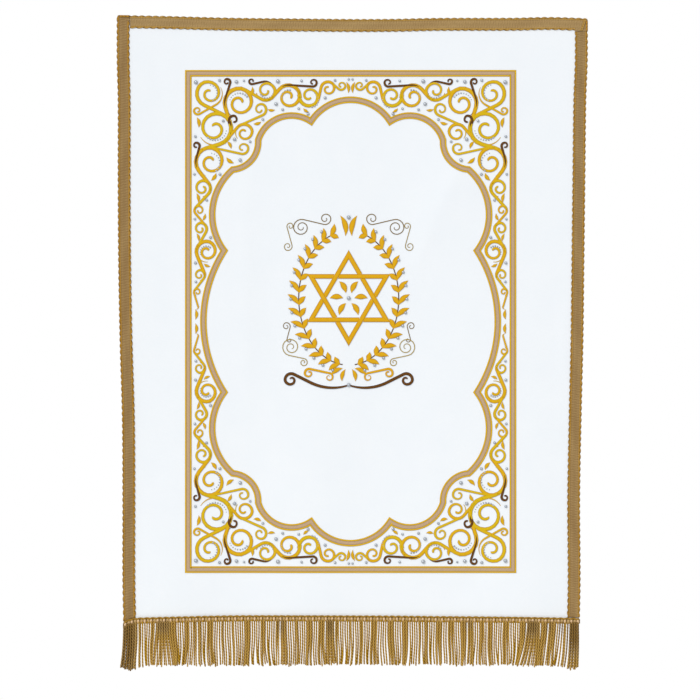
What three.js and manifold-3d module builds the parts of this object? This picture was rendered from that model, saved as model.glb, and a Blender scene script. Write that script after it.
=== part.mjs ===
// Torah ark curtain: a white velvet panel edged with gold galloon, with a bullion fringe along its
// hem, a rectangular band and a lobed band sewn on as a frame, and a star in the middle.
//
// Millimetres. X runs to the right seen from the front, the front faces -Y and Z is up. The origin is
// the middle of the top edge, where the curtain is held, halfway through the cloth.
//
// Every piece is first laid out flat, with the cloth's face as the plane y = 0 and what is sewn on
// it standing out towards -Y. One function then gives all of them the hang of the cloth.

import Module from "manifold-3d";
import * as THREE from "three";
import { mergeVertices } from "three/addons/utils/BufferGeometryUtils.js";

const { Vector2, Vector3 } = THREE;

// The cloth.
const CLOTH_THICK = 2;
const CLOTH_COLUMNS = 38;
const CLOTH_ROWS = 18;
const CLOTH_INSET = 1.5; // the cloth stops this far inside the galloon's outer edge
const CLOTH_BEHIND_HEADING = 6;
const HANG_LENGTH = 1270;
const SEWN_GAP = 0.3; // between the cloth and what is sewn on it
const BUTT_GAP = 0.4; // between two pieces that meet end to end

// How far the curtain reaches to each side, read down the cloth.
const SIDES = [
  { drop: -10, left: 499, right: 500 },
  { drop: 90, left: 499, right: 500 },
  { drop: 170, left: 497, right: 497 },
  { drop: 340, left: 497, right: 495 },
  { drop: 510, left: 496, right: 493 },
  { drop: 680, left: 493, right: 491 },
  { drop: 850, left: 488, right: 487 },
  { drop: 1020, left: 487, right: 484 },
  { drop: 1190, left: 487, right: 485 },
  { drop: 1290, left: 485, right: 483 },
];

// The top edge, which sags between its held corners, and the fringe's upper edge, read across.
const ENDS = [
  { x: -500, rise: 8, drop: 1270 },
  { x: -400, rise: 6.5, drop: 1267 },
  { x: -250, rise: 2.5, drop: 1264 },
  { x: -80, rise: 0.7, drop: 1263.5 },
  { x: 0, rise: 0, drop: 1264 },
  { x: 90, rise: 0.4, drop: 1264.5 },
  { x: 180, rise: 2.2, drop: 1265.5 },
  { x: 340, rise: 2.6, drop: 1266.5 },
  { x: 420, rise: 4.2, drop: 1268 },
  { x: 500, rise: 1.6, drop: 1270 },
];

// Long shallow waves that run down the cloth and deepen towards the hem.
const WAVES = [
  { length: 390, shift: -40, lean: 0.06, atTop: 0.7, atHem: 2.4 },
  { length: 247, shift: 65, lean: -0.1, atTop: 0.4, atHem: 1.2 },
];

// Broad draws and hollows: where each is centred, which way it leans, its reach and its depth.
const DRAWS = [
  { x: 180, drop: 420, lean: -0.44, wide: 60, tall: 190, depth: -2.2 },
  { x: -150, drop: 730, lean: 0.25, wide: 75, tall: 230, depth: 2 },
  { x: -235, drop: 560, lean: 0, wide: 55, tall: 300, depth: -1.4 },
  { x: 440, drop: 680, lean: 0.05, wide: 50, tall: 160, depth: 1.6 },
  { x: -415, drop: 130, lean: 0.25, wide: 55, tall: 130, depth: -1.5 },
];

// The galloon, with a raised cord along each edge. In a section off is measured from the middle line
// and out from the back.
const BRAID_WIDTH = 28;
const BRAID_STEP = 38;
const BRAID_EDGE = BRAID_WIDTH / 2;
const BRAID_CORD = BRAID_EDGE - 3;
const BRAID_FLAT = BRAID_EDGE - 4.2;
const BRAID_SECTION = [
  { off: -BRAID_EDGE, out: 0 },
  { off: BRAID_EDGE, out: 0 },
  { off: BRAID_EDGE, out: 1.7 },
  { off: BRAID_CORD, out: 2.2 },
  { off: BRAID_FLAT, out: 1.4 },
  { off: -BRAID_FLAT, out: 1.4 },
  { off: -BRAID_CORD, out: 2.2 },
  { off: -BRAID_EDGE, out: 1.7 },
];

// The sewn-on bands. The frame's place is that of its centre.
const BAND_WIDTH = 14;
const BAND_THICK = 1;
const BAND_STEP = 34;
const FRAME = { x: -3, drop: 641.5, wide: 702, tall: 1066 };

// A quarter of the lobed band's middle line, from the frame's centre: from the right side's middle
// to the top's middle. Each row starts an arc that bows out, or below zero in, by bow.
const LOBES = [
  { x: 312, z: 0, bow: 11.2 },
  { x: 268, z: 150, bow: 34 },
  { x: 250, z: 322, bow: -17 },
  { x: 196, z: 384, bow: 30 },
  { x: 84, z: 424, bow: 12.3 },
  { x: 0, z: 470, bow: 0 },
];
const LOBE_STEP = 17;
const ARCS_BEFORE_CUT = 3; // the lobed band's four lengths meet where the fourth arc starts

// The star: a band bent into two triangles, one up and one down, in one piece.
const STAR = { x: -7, drop: 592, radius: 92, band: 10, step: 30 };

// The fringe. Its strands hang from the heading in two rows, one in front of the other.
const HEADING_TALL = 13;
const HEADING_THICK = 5.5;
const HEADING_STEP = 32;
const HEADING_DROOP = 9; // how far the heading's left end sinks, where it is turned under
const DROOP_LENGTH = 30;
const STRAND_ROWS = [
  { out: 1.7, start: 2.2 },
  { out: 4.6, start: 3.6 },
];
const STRAND_RADIUS = 1.7;
const STRAND_CORNERS = [30, 150, 270]; // degrees round it, with a flat side to the front
const STRAND_ROOT = 4; // how far a strand goes up into the heading
const STRAND_KNEE = 30; // a strand hangs nearly straight down this far before it leans
const KNEE_LEAN = 0.15; // the share of its lean that it has there
const STRAND_DROP = 1370;
const UNEVEN_TIPS = 5;

// How the strands fall, read across: their spacing, how far their tips lean and hang lower.
const FALL = [
  { x: -486, spacing: 3.9, lean: -5, longer: 4 },
  { x: -470, spacing: 3.9, lean: -4, longer: 12 },
  { x: -456, spacing: 3.9, lean: -2, longer: 9 },
  { x: -446, spacing: 7.6, lean: 0, longer: 2 },
  { x: -250, spacing: 7.6, lean: 1, longer: 1 },
  { x: 0, spacing: 7.6, lean: 0, longer: -1 },
  { x: 330, spacing: 7.6, lean: -1, longer: 0 },
  { x: 430, spacing: 7.6, lean: -5, longer: 1 },
  { x: 456, spacing: 4.1, lean: -6, longer: 6 },
  { x: 470, spacing: 4.1, lean: -4, longer: 8 },
  { x: 483, spacing: 4.1, lean: -3, longer: 2 },
];
const CLUMPS = { length: 67, lean: 2.4 };

const wasm = await Module();
wasm.setup();

// A smooth curve through the rows of a table: the column's value at a place along its key.
function readTable(rows, key, column, at) {
  const last = rows.length - 1;
  let i = 0;
  while (i < last - 1 && rows[i + 1][key] < at) i += 1;
  const slopeAt = (k) => {
    const [before, after] = [rows[Math.max(k - 1, 0)], rows[Math.min(k + 1, last)]];
    return (after[column] - before[column]) / (after[key] - before[key]);
  };
  const span = rows[i + 1][key] - rows[i][key];
  const t = THREE.MathUtils.clamp((at - rows[i][key]) / span, 0, 1);
  const level = THREE.MathUtils.lerp(rows[i][column], rows[i + 1][column], t * t * (3 - 2 * t));
  const bend = slopeAt(i) * (1 - t) - slopeAt(i + 1) * t;
  return level + bend * span * t * (1 - t);
}

const leftEdge = (z) => -readTable(SIDES, "drop", "left", -z);
const rightEdge = (z) => readTable(SIDES, "drop", "right", -z);
const topEdge = (x) => readTable(ENDS, "x", "rise", x);

// The heading's upper edge, which sinks at its left end.
function headingTop(x) {
  const level = -readTable(ENDS, "x", "drop", x);
  const t = THREE.MathUtils.clamp((x - leftEdge(-HANG_LENGTH)) / DROOP_LENGTH, 0, 1);
  return level - HEADING_DROOP * (1 - t) * (1 - t);
}

// How far back the cloth lies. The fringe goes on as the hem does.
function depth(x, z) {
  const drop = Math.min(-z, HANG_LENGTH);
  const down = drop / HANG_LENGTH;
  let back = 0;
  for (const wave of WAVES) {
    const size = THREE.MathUtils.lerp(wave.atTop, wave.atHem, down * down);
    back += size * Math.sin((2 * Math.PI * (x - wave.shift - wave.lean * drop)) / wave.length);
  }
  for (const draw of DRAWS) {
    const along = (drop - draw.drop) / draw.tall;
    const across = (x - draw.x - draw.lean * (drop - draw.drop)) / draw.wide;
    back += draw.depth * Math.exp(-along * along - across * across);
  }
  return back;
}

// Gives a flat piece the cloth's hang, with the cloth's middle at y = 0 where it is held.
function hang(geometry) {
  const place = geometry.getAttribute("position");
  const face = -CLOTH_THICK / 2 - depth(0, 0);
  for (let i = 0; i < place.count; i += 1) {
    place.setY(i, place.getY(i) + face + depth(place.getX(i), place.getZ(i)));
  }
  return geometry;
}

// A closed body from points and faces, with its faces turned to look outwards.
function closedBody(points, faces) {
  const normal = new Vector3();
  const volume = faces.reduce(
    (sum, [a, b, c]) => sum + points[a].dot(normal.crossVectors(points[b], points[c])),
    0,
  );
  const outward = volume > 0 ? faces : faces.map(([a, b, c]) => [a, c, b]);
  const geometry = new THREE.BufferGeometry().setFromPoints(points);
  geometry.setIndex(outward.flat());
  return geometry;
}

// Joins rings of points into one body. cap is the end faces' triangles, or nothing for a loop.
function loft(rings, cap) {
  const size = rings[0].length;
  const faces = [];
  for (let i = 0; i < rings.length - (cap ? 1 : 0); i += 1) {
    const [here, next] = [i * size, ((i + 1) % rings.length) * size];
    for (let k = 0; k < size; k += 1) {
      const m = (k + 1) % size;
      faces.push([here + k, next + k, next + m], [here + k, next + m, here + m]);
    }
  }
  if (cap) {
    const end = (rings.length - 1) * size;
    cap.forEach(([a, b, c]) => faces.push([a, b, c], [end + a, end + c, end + b]));
  }
  return closedBody(rings.flat(), faces);
}

// The way across a path at each of its points, mitred where it turns. before and after are the
// points that the neighbouring pieces go on to, where there are any.
function acrossPath(path, before, after) {
  return path.map((p, i) => {
    const from = path[i - 1] ?? before;
    const to = path[i + 1] ?? after;
    const leaving = (to ? to.clone().sub(p) : p.clone().sub(from)).normalize();
    const arriving = from ? p.clone().sub(from).normalize() : leaving;
    const across = new Vector2(arriving.y + leaving.y, -arriving.x - leaving.x).normalize();
    return across.divideScalar(across.x * arriving.y - across.y * arriving.x);
  });
}

// A flat strip along a path of (x, z) points. Its section is { off, out } points, anticlockwise.
function strip(path, section, across, looped) {
  const rings = path.map((p, i) =>
    section.map(({ off, out }) => {
      const place = p.clone().addScaledVector(across[i], off);
      return new Vector3(place.x, -SEWN_GAP - out, place.y);
    }),
  );
  const outline = section.map(({ off, out }) => new Vector2(off, out));
  return loft(rings, looped ? null : THREE.ShapeUtils.triangulateShape(outline, []));
}

const boxSection = (width, thick) => [
  { off: -width / 2, out: 0 },
  { off: width / 2, out: 0 },
  { off: width / 2, out: thick },
  { off: -width / 2, out: thick },
];

// Points from one place to another, about step apart.
function straight(from, to, step) {
  const count = Math.ceil(from.distanceTo(to) / step);
  return Array.from({ length: count + 1 }, (_, i) => from.clone().lerp(to, i / count));
}

// The same along an arc whose middle stands bow to the right of the straight way.
function arc(from, to, bow, step) {
  const chord = to.clone().sub(from);
  const side = new Vector2(chord.y, -chord.x).normalize();
  const turn = 4 * Math.atan((2 * bow) / chord.length());
  const radius = chord.length() / (2 * Math.sin(turn / 2));
  return straight(from, to, step).map((_, i, all) => {
    const angle = turn * (i / (all.length - 1) - 0.5);
    const along = 0.5 + (radius * Math.sin(angle)) / chord.length();
    return from
      .clone()
      .addScaledVector(chord, along)
      .addScaledVector(side, bow - radius * (1 - Math.cos(angle)));
  });
}

const withoutLast = (path) => path.slice(0, -1);

// Cuts a ring of points into strips of sewn-on band, mitred where they meet and a little apart.
function bandLengths(ring, cuts) {
  const point = (i) => ring[(i + ring.length) % ring.length];
  return cuts.map((first, k) => {
    const last = k + 1 < cuts.length ? cuts[k + 1] : cuts[0] + ring.length;
    const path = Array.from({ length: last - first + 1 }, (_, i) => point(first + i).clone());
    const across = acrossPath(path, point(first - 1), point(last + 1));
    const [second, secondLast] = [path[1].clone(), path.at(-2).clone()];
    path[0].add(second.sub(path[0]).setLength(BUTT_GAP));
    path.at(-1).add(secondLast.sub(path.at(-1)).setLength(BUTT_GAP));
    return hang(strip(path, boxSection(BAND_WIDTH, BAND_THICK), across));
  });
}

const onFrame = (ring) => ring.map((p) => new Vector2(p.x + FRAME.x, p.y - FRAME.drop));

// The rectangular band's right, top, left and bottom strips.
function frameStrips() {
  const [x, z] = [(FRAME.wide - BAND_WIDTH) / 2, (FRAME.tall - BAND_WIDTH) / 2];
  const corners = [new Vector2(x, -z), new Vector2(x, z), new Vector2(-x, z), new Vector2(-x, -z)];
  const ring = [];
  const cuts = [];
  corners.forEach((corner, i) => {
    cuts.push(ring.length);
    ring.push(...withoutLast(straight(corner, corners[(i + 1) % corners.length], BAND_STEP)));
  });
  return bandLengths(onFrame(ring), cuts);
}

// The lobed band's top, left, bottom and right lengths.
function lobeStrips() {
  const corners = LOBES.map(({ x, z }) => new Vector2(x, z));
  const arcs = corners
    .slice(0, -1)
    .map((from, i) => withoutLast(arc(from, corners[i + 1], LOBES[i].bow, LOBE_STEP)));
  const mirrored = (path, x, z) => path.map((p) => new Vector2(p.x * x, p.y * z)).reverse();
  const quarter = [...arcs.flat(), corners.at(-1)];
  const half = [...quarter, ...mirrored(quarter, -1, 1).slice(1)];
  const ring = [...half, ...mirrored(half, 1, -1).slice(1, -1)];
  const cut = arcs.slice(0, ARCS_BEFORE_CUT).flat().length;
  const round = half.length - 1;
  return bandLengths(onFrame(ring), [cut, round - cut, round + cut, 2 * round - cut]);
}

function panel() {
  const geometry = new THREE.BoxGeometry(1, 1, 1, CLOTH_COLUMNS, 1, CLOTH_ROWS);
  geometry.deleteAttribute("normal");
  geometry.deleteAttribute("uv");
  const flat = mergeVertices(geometry);
  const place = flat.getAttribute("position");
  for (let i = 0; i < place.count; i += 1) {
    const across = place.getX(i) + 0.5;
    const level = THREE.MathUtils.lerp(leftEdge(0), rightEdge(0), across);
    const top = topEdge(level) - CLOTH_INSET;
    const bottom = headingTop(level) - CLOTH_BEHIND_HEADING;
    const z = THREE.MathUtils.lerp(bottom, top, place.getZ(i) + 0.5);
    const x = THREE.MathUtils.lerp(leftEdge(z) + CLOTH_INSET, rightEdge(z) - CLOTH_INSET, across);
    place.setXYZ(i, x, (place.getY(i) + 0.5) * CLOTH_THICK, z);
  }
  return hang(flat);
}

// A galloon down one side, from a line across the curtain to the heading, with its ends cut to
// follow both. inward is 1 on the left and -1 on the right.
function sideBraid(edge, inward, topLine) {
  const middle = (z) => edge(z) + (inward * BRAID_WIDTH) / 2;
  const [topX, footX] = [middle(0), middle(-HANG_LENGTH)];
  const slope = (line, x) => (line(x + BRAID_WIDTH / 2) - line(x - BRAID_WIDTH / 2)) / BRAID_WIDTH;
  const [top, bottom] = [topLine(topX), headingTop(footX) + BUTT_GAP];
  const path = straight(new Vector2(0, top), new Vector2(0, bottom), BRAID_STEP).map(
    ({ y }) => new Vector2(middle(y), y),
  );
  const across = path.map(() => new Vector2(1, 0));
  across[0].y = slope(topLine, topX);
  across.at(-1).y = slope(headingTop, footX);
  return hang(strip(path, BRAID_SECTION, across));
}

function topBraid() {
  const from = new Vector2(leftEdge(0) + BRAID_WIDTH + BUTT_GAP, 0);
  const to = new Vector2(rightEdge(0), 0);
  const path = straight(from, to, BRAID_STEP).map(
    ({ x }) => new Vector2(x, topEdge(x) - BRAID_WIDTH / 2),
  );
  return hang(strip(path, BRAID_SECTION, path.map(() => new Vector2(0, 1))));
}

function asManifold(geometry) {
  const vertProperties = new Float32Array(geometry.getAttribute("position").array);
  const triVerts = new Uint32Array(geometry.index.array);
  return new wasm.Manifold(new wasm.Mesh({ numProp: 3, vertProperties, triVerts }));
}

function joined(geometries) {
  const mesh = geometries.map(asManifold).reduce((sum, next) => sum.add(next)).getMesh();
  const geometry = new THREE.BufferGeometry();
  geometry.setAttribute("position", new THREE.BufferAttribute(mesh.vertProperties, 3));
  geometry.setIndex(new THREE.BufferAttribute(mesh.triVerts, 1));
  return geometry;
}

function star() {
  const middle = new Vector2(STAR.x, -STAR.drop);
  const triangles = [90, 270].map((start) => {
    const tips = [0, 120, 240].map((turn) => {
      const tip = new Vector2(STAR.radius, 0);
      return tip.rotateAround(new Vector2(), THREE.MathUtils.degToRad(start + turn)).add(middle);
    });
    const ring = tips.flatMap((tip, i) => withoutLast(straight(tip, tips[(i + 1) % 3], STAR.step)));
    return strip(ring, boxSection(STAR.band, BAND_THICK), acrossPath(ring, ring.at(-1), ring[0]), true);
  });
  return hang(joined(triangles));
}

function heading() {
  const [from, to] = [new Vector2(leftEdge(-HANG_LENGTH), 0), new Vector2(rightEdge(-HANG_LENGTH), 0)];
  const path = [from, ...straight(new Vector2(from.x + DROOP_LENGTH / 2, 0), to, HEADING_STEP)].map(
    ({ x }) => new Vector2(x, headingTop(x) - HEADING_TALL / 2),
  );
  return strip(path, boxSection(HEADING_TALL, HEADING_THICK), path.map(() => new Vector2(0, 1)));
}

// One strand: it leaves the heading, hangs straight to its knee and leans from there to its tip.
function strand(x, out, tipX, tipZ) {
  const foot = headingTop(x) - HEADING_TALL;
  const stations = [
    { x, z: foot + STRAND_ROOT },
    { x: THREE.MathUtils.lerp(x, tipX, KNEE_LEAN), z: foot - STRAND_KNEE },
    { x: tipX, z: tipZ },
  ];
  const rings = stations.map((at) =>
    STRAND_CORNERS.map((degrees) => {
      const angle = THREE.MathUtils.degToRad(degrees);
      const [side, front] = [STRAND_RADIUS * Math.cos(angle), STRAND_RADIUS * Math.sin(angle)];
      return new Vector3(at.x + side, -SEWN_GAP - out - front, at.z);
    }),
  );
  return loft(rings, [[0, 1, 2]]);
}

function fringe() {
  const pieces = [heading()];
  const [left, right] = [leftEdge(-HANG_LENGTH), rightEdge(-HANG_LENGTH) - STRAND_RADIUS];
  const fall = (column, x) => readTable(FALL, "x", column, x);
  STRAND_ROWS.forEach(({ out, start }) => {
    for (let x = left + start; x < right; x += fall("spacing", x)) {
      const clump = CLUMPS.lean * Math.sin((2 * Math.PI * x) / CLUMPS.length + out);
      const uneven = (UNEVEN_TIPS / 2) * Math.sin(x * x);
      const tipZ = -STRAND_DROP - fall("longer", x) + uneven;
      pieces.push(strand(x, out, x + fall("lean", x) + clump, tipZ));
    }
  });
  return hang(joined(pieces));
}

const materials = {
  velvet: new THREE.MeshStandardMaterial({ color: 0xf4f8fb, roughness: 0.95, metalness: 0 }),
  galloon: new THREE.MeshStandardMaterial({ color: 0xa08558, roughness: 0.55, metalness: 0.2 }),
  bullion: new THREE.MeshStandardMaterial({ color: 0xb58e3e, roughness: 0.5, metalness: 0.25 }),
  taupe: new THREE.MeshStandardMaterial({ color: 0xc3a283, roughness: 0.7, metalness: 0 }),
  gold: new THREE.MeshStandardMaterial({ color: 0xe0a824, roughness: 0.45, metalness: 0.1 }),
};

const curtain = new THREE.Group();

function add(name, geometry, material) {
  const mesh = new THREE.Mesh(geometry, material.clone());
  mesh.name = name;
  curtain.add(mesh);
}

const belowTopBraid = (x) => topEdge(x) - BRAID_WIDTH - BUTT_GAP;
add("panel", panel(), materials.velvet);
add("braid_left", sideBraid(leftEdge, 1, topEdge), materials.galloon);
add("braid_top", topBraid(), materials.galloon);
add("braid_right", sideBraid(rightEdge, -1, belowTopBraid), materials.galloon);
add("fringe", fringe(), materials.bullion);
const frameNames = ["frame_right", "frame_top", "frame_left", "frame_bottom"];
frameStrips().forEach((geometry, i) => add(frameNames[i], geometry, materials.taupe));
const lobeNames = ["lobes_top", "lobes_left", "lobes_bottom", "lobes_right"];
lobeStrips().forEach((geometry, i) => add(lobeNames[i], geometry, materials.taupe));
add("star", star(), materials.gold);

export default curtain;
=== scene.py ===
"""The looks of a torah ark curtain: white velvet edged with scalloped galloon and a bullion fringe,
with satin-stitched bands, scrolls, leaves and a star worked on its face.

Shapes are laid out flat in millimetres: x to the right, z up and out from the cloth's face towards
the viewer. on_cloth() then gives them the hang of the cloth, in metres.
"""

import bpy
import numpy as np
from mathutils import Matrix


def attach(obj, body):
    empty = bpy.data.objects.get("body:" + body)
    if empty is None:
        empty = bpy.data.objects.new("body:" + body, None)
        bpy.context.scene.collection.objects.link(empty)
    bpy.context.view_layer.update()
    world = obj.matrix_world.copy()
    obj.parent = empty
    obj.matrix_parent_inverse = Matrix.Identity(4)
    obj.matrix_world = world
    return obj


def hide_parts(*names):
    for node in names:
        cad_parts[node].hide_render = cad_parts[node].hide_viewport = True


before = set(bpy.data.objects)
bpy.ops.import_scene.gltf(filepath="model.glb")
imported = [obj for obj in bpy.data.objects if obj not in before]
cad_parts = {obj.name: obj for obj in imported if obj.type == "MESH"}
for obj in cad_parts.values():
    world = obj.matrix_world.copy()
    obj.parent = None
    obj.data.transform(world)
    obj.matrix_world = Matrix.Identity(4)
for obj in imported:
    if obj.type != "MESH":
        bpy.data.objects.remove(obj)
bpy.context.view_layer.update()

MM = 0.001
BODY = "root"
SHARP_ANGLE = 60  # an edge between faces that turn more than this is drawn sharp

# The cloth, as in the part's source.
CLOTH_THICK = 2
CLOTH_INSET = 1.5
CLOTH_BEHIND_HEADING = 6
CURTAIN_WIDE = 1000
HANG_LENGTH = 1270
HEM = 25  # turned to the back all round
HEM_THICK = 1
HEM_STEP = 0.0006  # the share of the cloth in which its back steps out at a hem's edge
CLOTH_COLUMNS, CLOTH_ROWS = 116, 136

# How far the curtain reaches to each side: drop, left, right.
SIDES = np.array([
    (-10, 499, 500),
    (90, 499, 500),
    (170, 497, 497),
    (340, 497, 495),
    (510, 496, 493),
    (680, 493, 491),
    (850, 488, 487),
    (1020, 487, 484),
    (1190, 487, 485),
    (1290, 485, 483),
])

# The top edge and the fringe's upper edge: x, the top's rise, the fringe's drop.
ENDS = np.array([
    (-500, 8, 1270),
    (-400, 6.5, 1267),
    (-250, 2.5, 1264),
    (-80, 0.7, 1263.5),
    (0, 0, 1264),
    (90, 0.4, 1264.5),
    (180, 2.2, 1265.5),
    (340, 2.6, 1266.5),
    (420, 4.2, 1268),
    (500, 1.6, 1270),
])

# Long shallow waves down the cloth: length, shift, lean, size at the top, size at the hem.
WAVES = [
    (390, -40, 0.06, 0.7, 2.4),
    (247, 65, -0.1, 0.4, 1.2),
]

# Broad draws and hollows: x, drop, lean, width, height, depth.
DRAWS = [
    (180, 420, -0.44, 60, 190, -2.2),
    (-150, 730, 0.25, 75, 230, 2),
    (-235, 560, 0, 55, 300, -1.4),
    (440, 680, 0.05, 50, 160, 1.6),
    (-415, 130, 0.25, 55, 130, -1.5),
]

# Soft creases left by folding: from x and drop, to x and drop, width, height.
CREASES = [
    (240, 288, 170, 437, 16, -0.9),
    (170, 437, 133, 532, 14, -0.7),
    (-227, 320, -222, 850, 18, -0.8),
    (-191, 575, -110, 893, 15, 0.7),
    (452, 596, 447, 766, 12, -0.7),
    (-428, 66, -396, 193, 13, 0.8),
    (-60, 1010, 60, 1180, 20, -0.7),
    (330, 1120, 210, 1230, 17, 0.6),
]

# The galloon: along each edge a cord, then a fine gold line, and a ribbed flat between. A half
# section from the edge to the middle: off from the middle line, out, share of the scallop.
BRAID_WIDTH = 28
BRAID_HALF = np.array([
    (14.0, 0.1, 1.0),
    (13.9, 1.0, 1.0),
    (13.2, 1.9, 0.9),
    (12.2, 2.4, 0.6),
    (11.2, 1.9, 0.3),
    (10.5, 1.1, 0.1),
    (9.9, 1.6, 0.0),
    (9.3, 1.8, 0.0),
    (8.7, 1.4, 0.0),
    (8.2, 1.1, 0.0),
    (5.5, 1.3, 0.0),
    (2.0, 1.4, 0.0),
])
# Painted shade across the half section: darkest at the outer edge and in the groove between the cord and
# the gold line.
BRAID_SHADE = np.array([0.1, 0.25, 0.6, 0.95, 0.9, 0.2, 0.75, 1.0, 0.8, 0.7, 0.95, 0.8])
BRAID_CORD_COLUMNS = 8  # the cord and the gold line take this many columns of the half section
BRAID_PLAIN_FROM, BRAID_PLAIN_OUT = 8.5, 1.3  # a plain edge starts at this off and stands this far out
BRAID_GAP = 0.4  # between a length's end and what it meets
LEFT_PLAIN = 12  # how far down the left length's inner edge is plain
TOP_LENGTH = 970
SIDE_SCALLOP = 12.9
TOP_SCALLOP = 14.6
SCALLOP_DEEP = 2.3
SCALLOP_SINKS = 0.75
SCALLOP_STEPS = 8
CORD_OFF, CORD_SLANT = 12, 9  # the cord's middle, and the width in which its slant gains one bump
CORNER_ROUND = 7
LEFT_ENDS = (-485, -471)  # x of the left length's middle at the top and at the heading
RIGHT_ENDS = (486, 469)
END_POWER = 40  # only near its ends does a length follow the top edge and the heading
CORNER_CORD_POINTS = 18

# Short cords at the upper corners: from x and z to x and z, inwards and down from the corner, then
# radius, pitch, how far off the cloth, and tint.
LEFT_CORDS = [
    (7, 2.2, 27, 2.6, 1.9, 7, 0.6, 0.0),
]
RIGHT_CORDS = [
    (2.2, 7, 2.2, 27, 1.9, 7, 0.6, 0.0),
    (5, 4, 13, 27, 1.3, 4, 0.9, 1.0),
    (7.6, 4, 15.6, 27, 1.0, 4, 0.9, 0.8),
]

# Satin stitch: shares of the half width, of the margin of painted shadow beside it and of the height,
# and the shade: painted shade, darkest at the stitches' feet. Zones are painted shadow on the pile and
# stitches.
SATIN_OFF = np.array([-1, -1, -0.85, -0.5, -0.17, 0.17, 0.5, 0.85, 1, 1])
SATIN_MARGIN = np.array([-1, 0, 0, 0, 0, 0, 0, 0, 0, 1])
SATIN_OUT = np.array([0, 0.25, 0.68, 0.92, 1, 1, 0.92, 0.68, 0.25, 0])
SATIN_SHADE = np.array([1, 0.15, 0.6, 0.95, 1, 1, 0.95, 0.6, 0.15, 1])
SATIN_ZONES = np.array([0, 1, 1, 1, 1, 1, 1, 1, 0, 0])
STITCHES_CLEAR = 0.05  # how far off the cloth stitches start
SATIN_LOW, SATIN_RISE, SATIN_HIGH = 0.45, 0.22, 1.35  # least height, more per mm of width, and most
SHADOW_MARGIN = 1.7

# The sewn-on bands: a half section of off, out and shade. Zones are painted shadow on the pile, satin and
# fill. The shade is painted shade, darkest at the band's edges and where satin meets fill.
FRAME_X, FRAME_DROP, FRAME_WIDE, FRAME_TALL = -3, 641.5, 702, 1066
BAND_WIDTH = 14
BAND_HALF = np.array([
    (8.6, 0.0, 1.0),
    (7.1, 0.3, 0.35),
    (6.7, 1.0, 0.9),
    (5.6, 1.3, 1.0),
    (4.5, 1.1, 1.0),
    (3.8, 0.5, 0.3),
    (3.3, 0.85, 0.6),
    (2.0, 0.95, 1.0),
    (0.6, 1.0, 1.0),
])
BAND_YELLOW = 0.45
BAND_ZONES = [0, 1, 1, 1, 1, 2, 2, 2, 2, 2, 2, 2, 1, 1, 1, 1, 0, 0]
BAND_STEP = 5

# A quarter of the lobed band, from the right side's middle to the top's middle: x, z, bow of the arc
# that starts there, all from the frame's centre.
LOBES = np.array([
    (312, 0, 11.2),
    (268, 150, 34),
    (250, 322, -17),
    (196, 384, 30),
    (84, 424, 12.3),
    (0, 470, 0),
])

# The star and its interlacing. A crossing's width is a share of a side.
STAR_X, STAR_DROP, STAR_RADIUS, STAR_BAND = -7, 592, 92, 10
STAR_STEPS = 54
STAR_YELLOW, STAR_LIFT = 0.1, 0.3
CROSSING_RISE, CROSSING_DIP, CROSSING_WIDE = 0.9, 0.25, 0.055

# The fringe.
HEADING_TALL = 13
HEADING_DROOP = 9
DROOP_LENGTH = 30
HEADING_PITCH = 13.7
HEADING_COLUMNS = 330
STRAND_RADIUS = 2.05
STRAND_LAY = 6.6  # one turn of the two plies, drawn a little long so that the twist shows
STRAND_RINGS = 116
STRAND_CORNERS = 6
STRAND_ROOT = 4
STRAND_DROP = 1370
STRAND_SEED = 11
TIP_SPREAD, LEAN_SPREAD, SWAY_SPREAD = 1.7, 0.9, 0.5  # how uneven the strands are
LEAN_WAVE, LEAN_WAVE_LONG = 1.6, 67  # the tips lean one way and the other along the fringe
SHARED_SWAY = 2.2  # how far neighbouring strands bend aside together
LOOSE_PITCH, BUNCH_PITCH, BUNCH_GAP, CROWD_PITCH = 4.7, 2.9, 1.8, 2.5
BUNCHED = 3.5  # strands nearer than this are bunched
LAYERS_OUT = (5.5, 2.4)  # how far in front of the cloth the two rows of strands hang

# Pairs whose tips close up: their share, how far apart they hang, and how far apart their tips end.
CLOSING_SHARE, CLOSING_FROM, CLOSING_TO, CLOSED = 0.55, 3.6, 6, 3.2

# The section of the heading's ground: fall from its upper edge, and out.
HEADING_SECTION = np.array([
    (3.2, 1.5),
    (3.8, 3.2),
    (6.0, 3.4),
    (11.8, 3.2),
    (12.4, 1.5),
    (12.4, 0.3),
    (6.0, 0.3),
    (3.2, 0.3),
])

# The heading's two cords: fall, depth of the scallops, radius, pitch, how far off the cloth, tint.
HEADING_CORDS = [
    (2.2, 1.7, 2.2, HEADING_PITCH, 1.7, 0.0),
    (12.4, 0.0, 1.3, 3.4, 2.4, 0.7),
]

# A pale loop on the heading and the wider bulge beside it: fall, width, height, low, high, tint.
LOOP = (8.0, 5.4, 8.6, 3.0, 5.6, 1.0)
BULGE = (7.8, 6.4, 8.4, 3.0, 4.8, 0.25)

# How the strands fall: x, lean of the tips, how much longer.
FALL = np.array([
    (-486, -5, 3),
    (-470, -4, 11),
    (-458, -4, 9),
    (-446, 0, 2),
    (-250, 1, 1),
    (0, 0, -1),
    (320, -1, 0),
    (372, -9, 1),
    (432, -11, 2),
    (454, -7, 4),
    (470, -3, 9),
    (483, -1, 2),
])

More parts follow.
